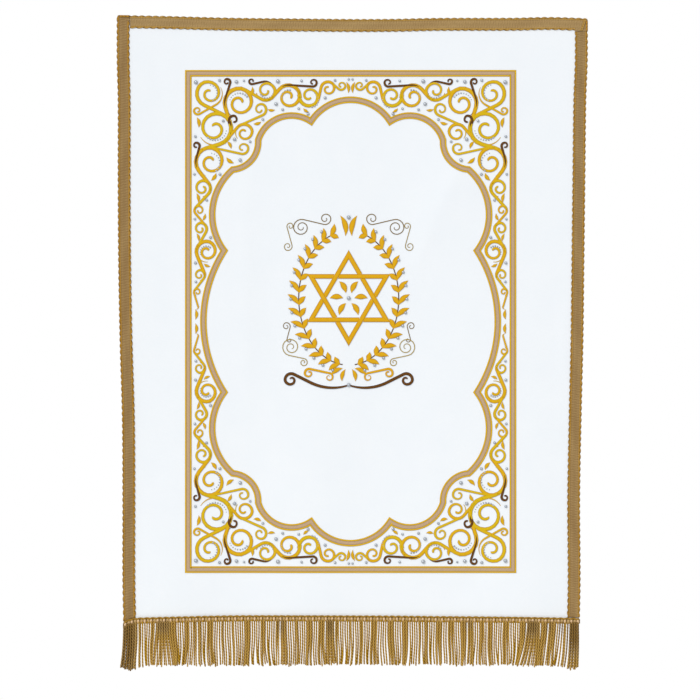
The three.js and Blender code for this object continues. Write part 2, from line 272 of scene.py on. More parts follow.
# Where the strands crowd together and shade each other: x, width, how far down, darkness, fan.
CROWDS = [
    (-473, 30, 150, 0.77, 0.0),
    (-400, 32, 30, 0.6, 0.65),
    (-330, 9, 16, 0.4, 0.3),
    (-151, 17, 36, 0.62, 0.4),
    (-47, 15, 44, 0.66, 0.4),
    (246, 18, 24, 0.5, 0.4),
    (382, 30, 36, 0.66, 0.75),
    (417, 13, 26, 0.6, 0.3),
    (444, 13, 30, 0.6, 0.2),
    (470, 30, 76, 0.78, 0.0),
]
# Painted shade: two dark grooves where the crowd at the left end hollows.
GROOVES = (-475.5, -466.4)  # dark hollows in the crowd at the left end

# The sewing on the back: its stitches, how far its rows run in from the curtain's edges and above
# the heading's upper edge, and where they end.
STITCH_PITCH, STITCH_LONG, STITCH_WIDE = 5.0, 3.4, 0.9
SEAM_INSETS, SEAM_RISES = (4, 25, 23), (-4, 21)
SEAM_DROP, SEAM_HALF, HEADING_SEAM = 1262, 496, (-478, 476)

# The scrollwork of a quarter of the frame is drawn round circles that touch its stems: x, z and
# radius from the frame's centre, and 1 where the thread runs anticlockwise round it or -1.
CIRCLES = np.array([
    (327, 30, 4, -1),
    (325, 62, 7, 1),
    (320, 98, 11, -1),
    (305, 148, 22, 1),
    (318, 196, 13, -1),
    (321, 235, 10, 1),
    (314, 282, 17, -1),
    (297, 338, 31, 1),
    (288, 409, 35, -1),
    (236, 463, 31, 1),
    (299, 483, 27, 1),
    (226, 400, 18, 1),
    (192, 449, 13, -1),
    (180, 489, 20, -1),
    (132, 476, 25, 1),
    (88, 478, 21, -1),
    (48, 493, 15, 1),
    (20, 500, 9, -1),
    (262, 507, 7, -1),
    (209, 509, 6, 1),
    (327, 372, 7, -1),
    (229, 367, 12, -1),
    (80, 506, 8, -1),
    (155, 509, 6, 1),
    (324, 447, 8, 1),
    (248, 426, 10, 1),
])

# Each stem: the circle it leaves, the one it winds into, its turns round each, width, and the
# share of yellow that it starts with.
STEMS = np.array([
    (0, 1, 0.3, 1.1, 4.4, 0.2),
    (1, 2, 0.3, 1.25, 5.4, 0.7),
    (2, 3, 0.3, 1.5, 7.8, 0.2),
    (3, 4, 0.35, 1.25, 6.2, 0.7),
    (4, 5, 0.3, 1.2, 5.2, 0.2),
    (5, 6, 0.3, 1.35, 6.8, 0.8),
    (6, 7, 0.35, 1.55, 8.4, 0.2),
    (7, 8, 0.4, 1.6, 9.0, 0.9),
    (8, 9, 0.4, 1.55, 8.6, 0.2),
    (8, 10, 0.3, 1.5, 7.8, 0.7),
    (8, 11, 0.3, 1.3, 6.6, 0.3),
    (11, 12, 0.3, 1.2, 5.6, 0.8),
    (9, 13, 0.35, 1.4, 7.0, 0.6),
    (13, 14, 0.35, 1.5, 8.0, 0.2),
    (14, 15, 0.35, 1.4, 7.6, 0.9),
    (15, 16, 0.35, 1.3, 6.4, 0.2),
    (16, 17, 0.3, 1.15, 5.0, 0.7),
    (10, 24, 0.25, 1.15, 4.8, 0.3),
    (7, 21, 0.25, 1.1, 5.2, 0.8),
])

# Brown tendrils in the same columns.
TENDRILS = np.array([
    (9, 18, 0.2, 1.05, 5.2, 0.0),
    (13, 19, 0.15, 0.9, 4.8, 0.0),
    (7, 20, 0.2, 0.9, 5.4, 0.0),
    (14, 22, 0.2, 1.05, 5.0, 0.0),
    (8, 25, 0.08, 0.85, 6.2, 0.0),
])
SPIRAL_POINTS = 30
STEM_POINTS = 6
SPIRAL_HELD = 0.35  # turns on the circle itself before a spiral draws in
SPIRAL_DRAWN = 0.8
YELLOW_SHIFT = 0.3  # how far a stem goes over to the other share of yellow by its end

# How a stem's width changes: share of the way, share of its width.
STROKE = np.array([
    (0.0, 0.18),
    (0.2, 0.45),
    (0.5, 0.95),
    (0.62, 1.0),
    (0.78, 0.7),
    (0.93, 0.68),
    (0.98, 0.6),
    (1.0, 0.1),
])

# Leaf buds in a quarter: x, z, direction in degrees, length, width.
BUDS = np.array([
    (5, 484, 80, 24, 7),
    (329, 4, 90, 22, 7),
    (311, 123, 205, 15, 6),
    (322, 170, 75, 17, 6),
    (314, 214, 110, 16, 6),
    (323, 252, 80, 20, 7),
    (296, 299, 125, 19, 8),
    (263, 348, 218, 20, 8),
    (253, 366, 60, 18, 7),
    (322, 411, 80, 22, 8),
    (206, 419, 165, 17, 7),
    (176, 450, 185, 16, 6),
    (100, 452, 215, 14, 6),
    (212, 478, 100, 20, 7),
])

# Rows of beads in a quarter: x, z, radius, start and sweep in degrees, count, first and last size.
BEAD_ARCS = [
    (306, 147, 13, -20, 150, 8, 2.2, 3.8),
    (298, 336, 21, 100, 130, 9, 2.2, 4.0),
    (287, 408, 24, 190, 120, 10, 2.2, 4.2),
    (236, 463, 21, 20, 120, 9, 2.2, 4.0),
    (300, 484, 17, 100, 140, 8, 2.2, 3.8),
    (178, 488, 14, 200, 130, 7, 2.2, 3.6),
    (131, 475, 16, -40, 140, 8, 2.2, 3.8),
    (84, 470, 16, 120, 140, 8, 2.2, 3.8),
]

# Single beads in a quarter: x, z, size.
BEADS = np.array([
    (329, 124, 6.4),
    (297, 178, 6.4),
    (330, 217, 5.6),
    (305, 257, 5.6),
    (331, 312, 5.6),
    (277, 312, 6.4),
    (234, 342, 7.6),
    (246, 386, 7.6),
    (329, 392, 6.0),
    (328, 507, 8.4),
    (278, 511, 6.4),
    (226, 510, 5.0),
    (270, 425, 6.0),
    (186, 428, 6.0),
    (144, 449, 6.0),
    (154, 509, 8.4),
    (90, 440, 6.4),
    (54, 474, 6.4),
    (104, 510, 5.6),
    (110, 451, 5.6),
    (158, 461, 7.6),
    (33, 511, 5.6),
    (4, 513, 5.0),
    (242, 508, 7.6),
    (213, 381, 5.6),
    (328, 84, 5.6),
])

# The wreath round the star: an ellipse's half axes, and where each branch starts and ends.
WREATH_WIDE, WREATH_TALL = 106, 142
WREATH_FROM, WREATH_TO = -80, 68
WREATH_LEAVES = 15
LEAF_LENGTH, LEAF_WIDTH = 33, 11.5
LEAF_POINTS = 9
LEAF_SPLAY = 42  # degrees between a leaf and its branch
INNER_LEAF = 0.7  # an inner leaf's share of an outer one's length
BRANCH_WIDTH = 2.2
BERRIES_OUT, BERRY_SIZE = 17, 6.4

# Leaves of the sprays above and below the wreath and of the flower in the star, right half, from
# the star's centre: x, z, direction in degrees, length, width.
SPRAYS = np.array([
    (7, 132, 76, 44, 12),
    (7, -151, -74, 26, 9),
    (13, -149, -30, 28, 10),
    (6, 11, 60, 28, 12),
    (12, 0, 0, 28, 12),
    (6, -11, -60, 28, 12),
])

# Hairline scrolls round the wreath, right half, from the star's centre: x, z, radius and turns of
# the first spiral, the same of the second, width, share of pale gold against brown.
HAIRLINES = np.array([
    (100, 150, 17, 1.8, 50, 168, 12, -1.4, 2.0, 0.4),
    (129, 110, 9, -1.4, 124, 152, 7, 1.2, 1.8, 0.82),
    (122, -104, 18, -1.9, 96, -136, 8, 1.4, 2.0, 1.0),
    (132, -60, 8, 1.3, 126, -88, 5, -0.8, 1.8, 0.4),
])

# Gold scrolls, with a share of yellow, and brown swashes below the wreath in the same columns.
CENTRE_SCROLLS = np.array([
    (42, -167, 8, -1.1, 84, -159, 9, -1.15, 5.2, 0.1),
])
SWASHES = np.array([
    (34, -84, 106, 0.126, 122, -173, 13, -1.2, 6.6, 0.0),
])

CENTRE_BEADS, CENTRE_BEAD_SIZE = (-171, 0, 184), 8.4  # how far below the star's centre

# How a motif is repeated: in the frame's four quarters, and in the two halves round the star.
QUARTERS = [{"across": across, "up": up} for up in (1, -1) for across in (1, -1)]
HALVES = [{"across": across, "x": STAR_X, "drop": STAR_DROP} for across in (1, -1)]

# The colours.
PILE = "#F7F9FB"
PILE_DIP = "#EDF2F7"
# Painted shadow round the stitches, on the velvet.
STITCH_SHADOW = "#C3D3E6"
CLOTH_BACK = "#E9EAE6"
CLOTH_BACK_DIP = "#DCDDD8"
BULLION = "#EEBE36"
BULLION_MID = "#C8961E"
# BULLION_SHADED is a duller colour for crowds and bunches. BULLION_DARK is the colour of painted shade in
# the plies' grooves, in crowds and the bunches' back row, and of the darker tips.
BULLION_SHADED = "#D8B678"
BULLION_DARK = "#6A4A12"
SILVER = "#B4BAC3"
# Painted shade at the beads' rims.
SILVER_SHADE = "#525A66"
FLOOR_GREY = "#E8E8E6"
FLOOR_DIP = "#E4E4E2"
WHITE = "#FFFFFF"
NAP_MM = 2.4  # the velvet's nap, drawn coarser than its 0.3 mm tufts so that it shows

# Threads and yarns. Satin stitch and twisted cord shine, and fill stitch and weaves are duller. The
# material, its dark (the colour of painted shade where the shade attribute falls, and of the dark
# between its threads), the two colours that the tint chooses between, the pitch of its threads in
# mm, whether it is woven, and its roughness.
THREADS = {
    "gold_satin": ("rayon satin stitch, gold", "#9A6A12", "#E9AE16", "#DFC416", 1.1, False, 0.45),
    "brown_satin": ("rayon satin stitch, brown", "#382004", "#6B4416", "#C9AC50", 1.1, False, 0.45),
    "taupe_fill": ("polyester fill stitch, taupe", "#8C7470", "#C9AC88", "#C9AC88", 1.6, True, 0.65),
    "galloon_flat": ("woven rayon galloon", "#6E5430", "#94754A", "#BFA06C", 1.5, True, 0.6),
    "galloon_cord": ("twisted rayon cord", "#583A0A", "#C8922A", "#D9B060", 1.3, False, 0.45),
    "heading_yarn": ("woven rayon heading", "#A68654", "#B8985C", "#E8C69C", 1.3, False, 0.5),
    "heading_cord": ("twisted rayon cord, dull gold", "#6A4810", "#AC832C", "#B8924A", 1.3, False, 0.45),
    "heading_ground": ("woven rayon ground", "#4A3414", "#A68654", "#A68654", 1.5, True, 0.7),
    "sewing": ("polyester sewing thread", "#C8C8C2", "#F2F2EE", "#F2F2EE", 1.0, False, 0.45),
}

# The camera stands in front, in metres, and looks at the middle of the picture, in millimetres.
CAMERA_AWAY, PICTURE_WIDE, SENSOR = 10.0, 1.484, 36
PICTURE_X, PICTURE_Z = -4.24, -702

# The lamp's strength, spread and turn in degrees, the surround's strength, and the floor in metres.
LAMP_STRENGTH, LAMP_SPREAD, LAMP_TURN = 1.45, 28, (54, 0, -32)
SURROUND_STRENGTH = 0.7
FLOOR_DROP, FLOOR_HALF = 1.62, 1.5


def read_table(table, column, at):
    """A smooth curve through a table's rows at places along its first column: cubic pieces, with
    the slope of each row's two neighbours."""
    key, value = table[:, 0], table[:, column]
    rows = np.arange(len(key))
    low, high = np.maximum(rows - 1, 0), np.minimum(rows + 1, len(key) - 1)
    slope = (value[high] - value[low]) / (key[high] - key[low])
    i = np.clip(np.searchsorted(key, at) - 1, 0, len(key) - 2)
    span = key[i + 1] - key[i]
    t = np.clip((at - key[i]) / span, 0, 1)
    level = value[i] + (value[i + 1] - value[i]) * t * t * (3 - 2 * t)
    return level + (slope[i] * (1 - t) - slope[i + 1] * t) * span * t * (1 - t)


def left_edge(z):
    """The curtain's left edge at a height."""
    return -read_table(SIDES, 1, -z)


def right_edge(z):
    """The curtain's right edge at a height."""
    return read_table(SIDES, 2, -z)


def top_edge(x):
    """The curtain's top edge, which sags between its held corners."""
    return read_table(ENDS, 1, x)


def heading_top(x):
    """The heading's upper edge, which sinks at its left end with the square of what is left."""
    t = np.clip((x - left_edge(-HANG_LENGTH)) / DROOP_LENGTH, 0, 1)
    return -read_table(ENDS, 2, x) - HEADING_DROOP * (1 - t) ** 2


def depth(x, z):
    """How far back the cloth lies: sines across it that grow with the square of the drop, and
    bell-shaped draws."""
    drop = np.minimum(-z, HANG_LENGTH)
    back = np.zeros(np.broadcast(x, z).shape)
    for length, shift, lean, at_top, at_hem in WAVES:
        size = at_top + (at_hem - at_top) * (drop / HANG_LENGTH) ** 2
        back += size * np.sin(2 * np.pi * (x - shift - lean * drop) / length)
    for middle, level, lean, wide, tall, size in DRAWS:
        across = (x - middle - lean * (drop - level)) / wide
        back += size * np.exp(-((drop - level) / tall) ** 2 - across ** 2)
    return back


def creases(x, z):
    """Soft ridges: a bell across each crease's line, flat along it and fading past its ends."""
    drop = np.minimum(-z, HANG_LENGTH)
    back = np.zeros(np.broadcast(x, z).shape)
    for x0, drop0, x1, drop1, wide, size in CREASES:
        run, fall = x1 - x0, drop1 - drop0
        along = ((x - x0) * run + (drop - drop0) * fall) / (run ** 2 + fall ** 2)
        across = ((x - x0) * fall - (drop - drop0) * run) / np.hypot(run, fall) / wide
        back += size * np.exp(-((along - 0.5) / 0.5) ** 4 - across ** 2)
    return back


FACE = -CLOTH_THICK / 2 - float(depth(np.array(0.0), np.array(0.0)))


def on_cloth(x, z, out):
    """Points in metres that stand out from the hanging cloth's face."""
    y = FACE + depth(x, z) + creases(x, z) - out
    return np.stack(np.broadcast_arrays(x, y, z), -1) * MM


def colour(code):
    """The linear colour of an sRGB hex code."""
    level = np.array([int(code[i:i + 2], 16) for i in (1, 3, 5)]) / 255
    linear = np.where(level <= 0.04045, level / 12.92, ((level + 0.055) / 1.055) ** 2.4)
    return (*linear.tolist(), 1.0)


def add(tree, kind, inputs=None, **settings):
    """Adds a node with its settings. Each input gets a value, or a link if it is given a socket."""
    made = tree.nodes.new("ShaderNode" + kind)
    for name, value in settings.items():
        setattr(made, name, value)
    for name, value in (inputs or {}).items():
        if isinstance(value, bpy.types.NodeSocket):
            tree.links.new(value, made.inputs[name])
        else:
            made.inputs[name].default_value = value
    return made


def start_material(name, roughness, sheen=0.0, metallic=0.0, specular=0.5):
    """A material with its shader's plain values set. Gives the material, its tree and shader."""
    material = bpy.data.materials.new(name)
    material.use_nodes = True
    shader = material.node_tree.nodes["Principled BSDF"]
    shader.inputs["Roughness"].default_value = roughness
    shader.inputs["Sheen Weight"].default_value = sheen
    shader.inputs["Sheen Roughness"].default_value = 0.4
    shader.inputs["Metallic"].default_value = metallic
    shader.inputs["Specular IOR Level"].default_value = specular
    return material, material.node_tree, shader


def finish_material(tree, shader, share, low, high, height, bump_mm, strength):
    """Gives the shader its base colour, between low and high at a share, and a bump from the height
    pattern."""
    base = add(tree, "Mix", {0: share, 6: low, 7: high}, data_type="RGBA")
    bump = add(tree, "Bump", {"Height": height, "Distance": bump_mm * MM, "Strength": strength})
    tree.links.new(base.outputs[2], shader.inputs["Base Color"])
    tree.links.new(bump.outputs["Normal"], shader.inputs["Normal"])


def velvet_pile():
    """Cotton velvet with a short cut pile: matt, soft white, a little brighter at grazing angles,
    with faint clouds where the nap lies another way."""
    material, tree, shader = start_material("cotton velvet, cut pile", 0.95, sheen=0.25, specular=0.2)
    place = add(tree, "TexCoord").outputs["Object"]
    cloud_mm = 70
    cloud = add(tree, "TexNoise", {"Vector": place, "Scale": 1 / (cloud_mm * MM), "Detail": 3.0})
    nap = add(tree, "TexNoise", {"Vector": place, "Scale": 1 / (NAP_MM * MM), "Detail": 2.0})
    both = add(tree, "Math", {0: cloud.outputs["Fac"], 1: nap.outputs["Fac"]}, operation="MULTIPLY")
    share, height = both.outputs[0], nap.outputs["Fac"]
    finish_material(tree, shader, share, colour(PILE_DIP), colour(PILE), height, 0.4, 0.25)
    return material


def velvet_back():
    """The velvet's woven back: plain weave, duller and a little creamier than the pile."""
    material, tree, shader = start_material("cotton velvet, woven back", 0.9, specular=0.25)
    place = add(tree, "TexCoord").outputs["Object"]
    yarn_mm = 1.6  # drawn coarser than its 0.5 mm yarns so that the weave shows
    scale = 2 * np.pi / 20 / (yarn_mm * MM)
    warp = add(tree, "TexWave", {"Vector": place, "Scale": scale}, bands_direction="X")
    weft = add(tree, "TexWave", {"Vector": place, "Scale": scale}, bands_direction="Z")
    weave = add(tree, "Math", {0: warp.outputs["Fac"], 1: weft.outputs["Fac"]}, operation="MULTIPLY")
    height = weave.outputs[0]
    finish_material(tree, shader, height, colour(CLOTH_BACK_DIP), colour(CLOTH_BACK), height, 0.3, 0.3)
    return material


def painted_stitch_shadow():
    """Painted shadow on the velvet round a line of stitches, where its pile is pressed flat: a soft
    bluish shade that fades outwards.
    """
    material, tree, shader = start_material("cotton velvet, painted stitch shadow", 0.95, specular=0.2)
    place = add(tree, "TexCoord").outputs["Object"]
    nap = add(tree, "TexNoise", {"Vector": place, "Scale": 1 / (NAP_MM * MM), "Detail": 2.0})
    shade, height = add(tree, "Attribute", attribute_name="shade").outputs["Fac"], nap.outputs["Fac"]
    finish_material(tree, shader, shade, colour(STITCH_SHADOW), colour(PILE), height, 0.3, 0.2)
    return material


def thread(name, dark, low, high, pitch_mm, woven, roughness):
    """Stitched or woven thread. The UV map holds millimetres along and across the piece, the
    threads lie across it, and the tint attribute chooses between the low and high colours. A woven
    one has slanting rows too."""
    material, tree, shader = start_material(name, roughness, specular=0.1)
    run = add(tree, "UVMap", uv_map="thread_mm").outputs["UV"]
    shade = add(tree, "Attribute", attribute_name="shade").outputs["Fac"]
    tint = add(tree, "Attribute", attribute_name="tint").outputs["Fac"]
    scale = 2 * np.pi / 20 / pitch_mm
    lines = add(tree, "TexWave", {"Vector": run, "Scale": scale, "Distortion": 0.6}, bands_direction="X")
    height = lines.outputs["Fac"]
    if woven:
        rows = add(tree, "TexWave", {"Vector": run, "Scale": scale / 2}, bands_direction="DIAGONAL")
        height = add(tree, "Math", {0: height, 1: rows.outputs["Fac"]}, operation="MULTIPLY").outputs[0]
    fleck = add(tree, "TexNoise", {"Vector": run, "Scale": 0.3 / pitch_mm, "Detail": 2.0})
    worn = add(tree, "Math", {0: fleck.outputs["Fac"], 1: 0.5}, operation="MULTIPLY").outputs[0]
    bright = add(tree, "Mix", {0: tint, 6: colour(low), 7: colour(high)}, data_type="RGBA").outputs[2]
    tone = add(tree, "Mix", {0: worn, 6: bright, 7: colour(dark)}, data_type="RGBA").outputs[2]
    # Painted light on the threads: each crest is lighter than its trough. Then the shade attribute paints
    # shade, taking the colour over to dark where it falls.
    lit = add(tree, "Mix", {0: height, 6: tone, 7: bright}, data_type="RGBA").outputs[2]
    finish_material(tree, shader, shade, colour(dark), lit, height, 0.25, 0.5)
    return material


def bullion_thread():
    """Two plies of metallic-look rayon twisted hard, in painted light and shade: a painted highlight on
    each ply, painted shade in the groove between them, duller and darker where the strands crowd and
    shade each other, and darker at the end of the loop."""
    material, tree, shader = start_material("twisted rayon bullion", 0.5, specular=0.04)
    run = add(tree, "UVMap", uv_map="thread_mm").outputs["UV"]
    shade = add(tree, "Attribute", attribute_name="shade").outputs["Fac"]
    tint = add(tree, "Attribute", attribute_name="tint").outputs["Fac"]
    fibre = add(tree, "TexNoise", {"Vector": run, "Scale": 0.9, "Detail": 2.0}).outputs["Fac"]
    fresh = {0: fibre, 6: colour(BULLION), 7: colour(BULLION_MID)}
    clean = add(tree, "Mix", fresh, data_type="RGBA").outputs[2]
    bright = add(tree, "Mix", {0: tint, 6: clean, 7: colour(BULLION_SHADED)}, data_type="RGBA").outputs[2]
    finish_material(tree, shader, shade, colour(BULLION_DARK), bright, fibre, 0.15, 0.4)
    return material


def silver_bead():
    """Silver-lined glass beads: pale grey with a small sharp highlight each, and painted shade towards
    the rim.
    """
    material, tree, shader = start_material("silver-lined glass bead", 0.22, metallic=0.35)
    place = add(tree, "TexCoord").outputs["Object"]
    cloud_mm = 3
    cloud = add(tree, "TexNoise", {"Vector": place, "Scale": 1 / (cloud_mm * MM)}).outputs["Fac"]
    shade = add(tree, "Attribute", attribute_name="shade").outputs["Fac"]
    finish_material(tree, shader, shade, colour(SILVER_SHADE), colour(SILVER), cloud, 0.1, 0.1)
    return material


def floor_paint():
    """Painted studio floor: even, matt and pale, with the faint mottle of a roller."""
    material, tree, shader = start_material("matt studio paint", 0.8, specular=0.3)
    place = add(tree, "TexCoord").outputs["Object"]
    mottle_mm = 12
    mottle = add(tree, "TexNoise", {"Vector": place, "Scale": 1 / (mottle_mm * MM), "Detail": 3.0})
    height = mottle.outputs["Fac"]
    finish_material(tree, shader, height, colour(FLOOR_DIP), colour(FLOOR_GREY), height, 0.3, 0.1)
    return material


def ring_quads(rows, columns, loop):
    """Corner numbers of the quads of one ring-shaped grid. Each row is a ring. The last row joins
    the first in a loop, and otherwise both end rows are closed by quads between facing columns."""
    r, c = np.meshgrid(np.arange(rows if loop else rows - 1), np.arange(columns), indexing="ij")
    below, beside = (r + 1) % rows * columns, (c + 1) % columns
    wall = np.stack([r * columns + c, r * columns + beside, below + beside, below + c], -1)
    wall = wall.reshape(-1, 4)
    if loop:
        return wall
    k = np.arange(columns // 2 - 1)
    end = np.stack([k, columns - 1 - k, columns - 2 - k, k + 1], -1)
    return np.concatenate([wall, end, end[:, ::-1] + (rows - 1) * columns])


def surface(points, uv=0.0, zones=0, shade=1.0, tint=0.0, loop=False):
    """A batch of like closed shapes. points is (count, rows, columns, 3) in metres and each row is
    a ring of an even number of columns. zones is the material of each column. The faces are turned
    to look outwards by the sign of the enclosed volume."""
    count, rows, columns, _ = points.shape
    quads = ring_quads(rows, columns, loop)
    walls = (rows if loop else rows - 1) * columns
    zone = np.broadcast_to(zones, (walls // columns, columns)).reshape(-1)
    ends = len(quads) - walls
    zone = np.concatenate([zone, np.full(ends, zone[columns // 2])])
    corners = (quads + np.arange(count)[:, None, None] * rows * columns).reshape(-1, 4)
    flat = points.reshape(-1, 3)
    a, b, c, d = (flat[corners[:, i]] for i in range(4))
    if np.sum(a * np.cross(b, c) + a * np.cross(c, d)) < 0:
        corners = corners[:, ::-1]
    return {
        "points": flat,
        "quads": corners,
        "zone": np.tile(zone, count),
        "uv": np.broadcast_to(uv, (count, rows, columns, 2)).reshape(-1, 2),
        "shade": np.broadcast_to(shade, points.shape[:3]).reshape(-1),
        "tint": np.broadcast_to(tint, points.shape[:3]).reshape(-1),
    }


def new_object(name, data):
    """An object in the scene, at the origin."""
    made = bpy.data.objects.new(name, data)
    bpy.context.scene.collection.objects.link(made)
    return made


def make_piece(name, surfaces, materials, replaced=()):
    """Joins surfaces into one mesh with its UV map and attributes, rides it on the curtain's body
    and hides the nodes that it stands for."""
    joined = {key: np.concatenate([s[key] for s in surfaces]) for key in surfaces[0]}
    sizes = [len(s["points"]) for s in surfaces]
    starts = np.repeat(np.cumsum([0] + sizes[:-1]), [len(s["quads"]) for s in surfaces])
    quads = joined["quads"] + starts[:, None]
    mesh = bpy.data.meshes.new(name)
    mesh.vertices.add(sum(sizes))
    mesh.loops.add(quads.size)
    mesh.polygons.add(len(quads))
    mesh.vertices.foreach_set("co", joined["points"].ravel())
    mesh.loops.foreach_set("vertex_index", quads.ravel())
    mesh.polygons.foreach_set("loop_start", np.arange(len(quads)) * 4)
    mesh.polygons.foreach_set("material_index", joined["zone"])
    mesh.update(calc_edges=True)
    mesh.uv_layers.new(name="thread_mm").data.foreach_set("uv", joined["uv"][quads].ravel())
    for key in ("shade", "tint"):
        mesh.attributes.new(key, "FLOAT", "POINT").data.foreach_set("value", joined[key])
    for material in materials:
        mesh.materials.append(material)
    mesh.shade_smooth()
    mesh.set_sharp_from_angle(angle=np.radians(SHARP_ANGLE))
    piece = new_object(name, mesh)
    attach(piece, BODY)
    if replaced:
        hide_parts(*replaced)
    return piece


def unit(way):
    """Vectors of length 1."""
    return way / np.maximum(np.linalg.norm(way, axis=-1, keepdims=True), 1e-9)


def across_path(paths, loop=False):
    """The way across a path, to the right of travel. It is mitred: where the path turns it is
    longer by one over the cosine of half the turn, so that a band keeps its width."""
    leaving = unit(np.roll(paths, -1, -2) - paths)
    arriving = np.roll(leaving, 1, -2)
    if not loop:
        leaving[..., -1, :] = leaving[..., -2, :]
        arriving[..., 0, :] = leaving[..., 0, :]
    side = unit(np.stack([(arriving + leaving)[..., 1], -(arriving + leaving)[..., 0]], -1))
    cosine = side[..., 0] * arriving[..., 1] - side[..., 1] * arriving[..., 0]
    return side / cosine[..., None]


def run_along(paths):
    """The length travelled along each path."""
    steps = np.linalg.norm(np.diff(paths, axis=-2), axis=-1)
    return np.concatenate([np.zeros_like(steps[..., :1]), np.cumsum(steps, -1)], -1)


def swept(paths, off, out, loop=False):
    """A section carried along flat paths: off across the path and out from the cloth, both of
    (count, rows, columns). Gives the points and their UV in millimetres along and across."""
    across = across_path(paths, loop)
    off, out = np.broadcast_arrays(off, out)
    place = paths[..., None, :] + across[..., None, :] * off[..., None]
    along = np.broadcast_to(run_along(paths)[..., None], place.shape[:-1])
    uv = np.stack([along, np.broadcast_to(off, along.shape)], -1)
    return on_cloth(place[..., 0], place[..., 1], out), uv


def both_sides(half):
    """A half section from its edge to its middle, carried on to the other edge."""
    mirrored = half[::-1].copy()
    mirrored[:, 0] *= -1
    return np.concatenate([half, mirrored]) * np.array([-1] + [1] * (half.shape[1] - 1))


def bump_along(along, pitch, slant=0.0):
    """Rounded bumps with sharp notches between them: the size of a sine to a power below one."""
    return np.abs(np.sin(np.pi * (along / pitch + slant))) ** 0.75


def satin(paths, widths, tint, lift, loop=False):
    """Raised satin stitch along paths: a low dome as wide as its stitches, with a strip of painted
    shadow on the pile on each side and painted shade at its feet. widths, tint and lift are
    (count, rows) or less."""
    widths = np.broadcast_to(widths, paths.shape[:-1])[..., None]
    tint, lift = (np.broadcast_to(value, paths.shape[:-1])[..., None] for value in (tint, lift))
    margin = SHADOW_MARGIN * np.minimum(widths / 3, 1)
    off = widths / 2 * SATIN_OFF + margin * SATIN_MARGIN
    high = np.minimum(SATIN_LOW + SATIN_RISE * widths, SATIN_HIGH)
    out = STITCHES_CLEAR + high * SATIN_OUT + lift * (SATIN_OUT > 0)
    points, uv = swept(paths, off, out, loop)
    return surface(points, uv, SATIN_ZONES, SATIN_SHADE, tint, loop)


def swelling(paths, width, thin, power):
    """Widths that swell from thin ends to a path's middle by a power of a half sine."""
    t = np.linspace(0, 1, paths.shape[1])
    share = thin + (1 - thin) * np.sin(np.pi * t) ** power
    return np.broadcast_to(np.reshape(width, (-1, 1)), (len(paths), 1)) * share


def scroll_paths(rows):
    """Paths that unwind from one spiral, run straight along the line that touches both circles
    and wind into the other. A spiral keeps to its circle first and then draws in, with the power
    0.85 of the way."""
    x0, z0, r0, turns0, x1, z1, r1, turns1 = rows[:, :8].T
    signed0, signed1 = r0 * np.sign(turns0), r1 * np.sign(turns1)
    apart = np.hypot(x1 - x0, z1 - z0)
    heading = np.arctan2(z1 - z0, x1 - x0) + np.arcsin(np.clip((signed0 - signed1) / apart, -1, 1))
    s = np.linspace(0, 1, SPIRAL_POINTS)

    def spiral(x, z, radius, turns, way_in, start):
        held = np.minimum(SPIRAL_HELD / np.abs(turns), 0.999)[:, None]
        inward = np.clip((way_in - held) / (1 - held), 0, 1) * (np.abs(turns) > 0.5)[:, None]
        reach = radius[:, None] * (1 - SPIRAL_DRAWN * inward ** 0.85)
        angle = start[:, None] + 2 * np.pi * turns[:, None] * way_in
        return np.stack([x[:, None] + reach * np.cos(angle), z[:, None] + reach * np.sin(angle)], -1)

    leave = heading - np.sign(turns0) * np.pi / 2
    arrive = heading - np.sign(turns1) * np.pi / 2
    first = spiral(x0, z0, r0, -turns0, 1 - s, leave)
    last = spiral(x1, z1, r1, turns1, s, arrive)
    t = np.linspace(0, 1, STEM_POINTS)[1:-1, None]
    stem = first[:, -1:] * (1 - t) + last[:, :1] * t
    return np.concatenate([first, stem, last], 1)


def stem_rows(stems):
    """Stems as rows of two spirals: each circle's place and radius, and its turns signed by the
    way that the thread runs round it."""
    leaving, winding = CIRCLES[stems[:, 0].astype(int)], CIRCLES[stems[:, 1].astype(int)]
    first = np.column_stack([leaving[:, :3], stems[:, 2] * leaving[:, 3]])
    return np.column_stack([first, winding[:, :3], stems[:, 3] * winding[:, 3]])


def pen_widths(paths, width):
    """Widths along stems, as a broad pen draws them: fullest on the outer sweep of the curl."""
    share = read_table(STROKE, 1, np.linspace(0, 1, paths.shape[1]))
    return np.reshape(width, (-1, 1)) * share


def lens_paths(x, z, degrees, length, curl=0.12):
    """Short leaf paths from a foot in a direction, bowed to one side by a parabola."""
    t = np.linspace(0, 1, LEAF_POINTS)
    angle = np.radians(np.asarray(degrees, float))[..., None]
    along, aside = length * t, curl * length * 4 * t * (1 - t)
    px = np.asarray(x)[..., None] + along * np.cos(angle) - aside * np.sin(angle)
    pz = np.asarray(z)[..., None] + along * np.sin(angle) + aside * np.cos(angle)
    return np.stack([px, pz], -1)


def placed(paths, across=1, up=1, x=FRAME_X, drop=FRAME_DROP):
    """Paths from a motif's own centre, mirrored or not, moved to their place on the curtain."""
    return paths * np.array([across, up]) + np.array([x, -drop])


def bead_domes(places, size):
    """Beads: spheres cut off a little below the middle where they sit on the cloth. Rows are
    circles of latitude and columns go round."""
    latitude = np.radians(np.linspace(-30, 84, 5))[:, None]
    angle = np.radians(np.arange(0, 360, 36))
    x, z = np.transpose(places)[..., None, None]
    radius = np.reshape(size, (-1, 1, 1)) / 2
    px = x + radius * np.cos(latitude) * np.cos(angle)
    pz = z + radius * np.cos(latitude) * np.sin(angle)
    out = 0.8 * radius * (0.5 + np.sin(latitude))
    # Painted shade: each bead darkens towards its rim, where it meets the cloth, and is brightest on top.
    return surface(on_cloth(px, pz, out), shade=np.clip(0.35 + np.sin(latitude), 0, 1))


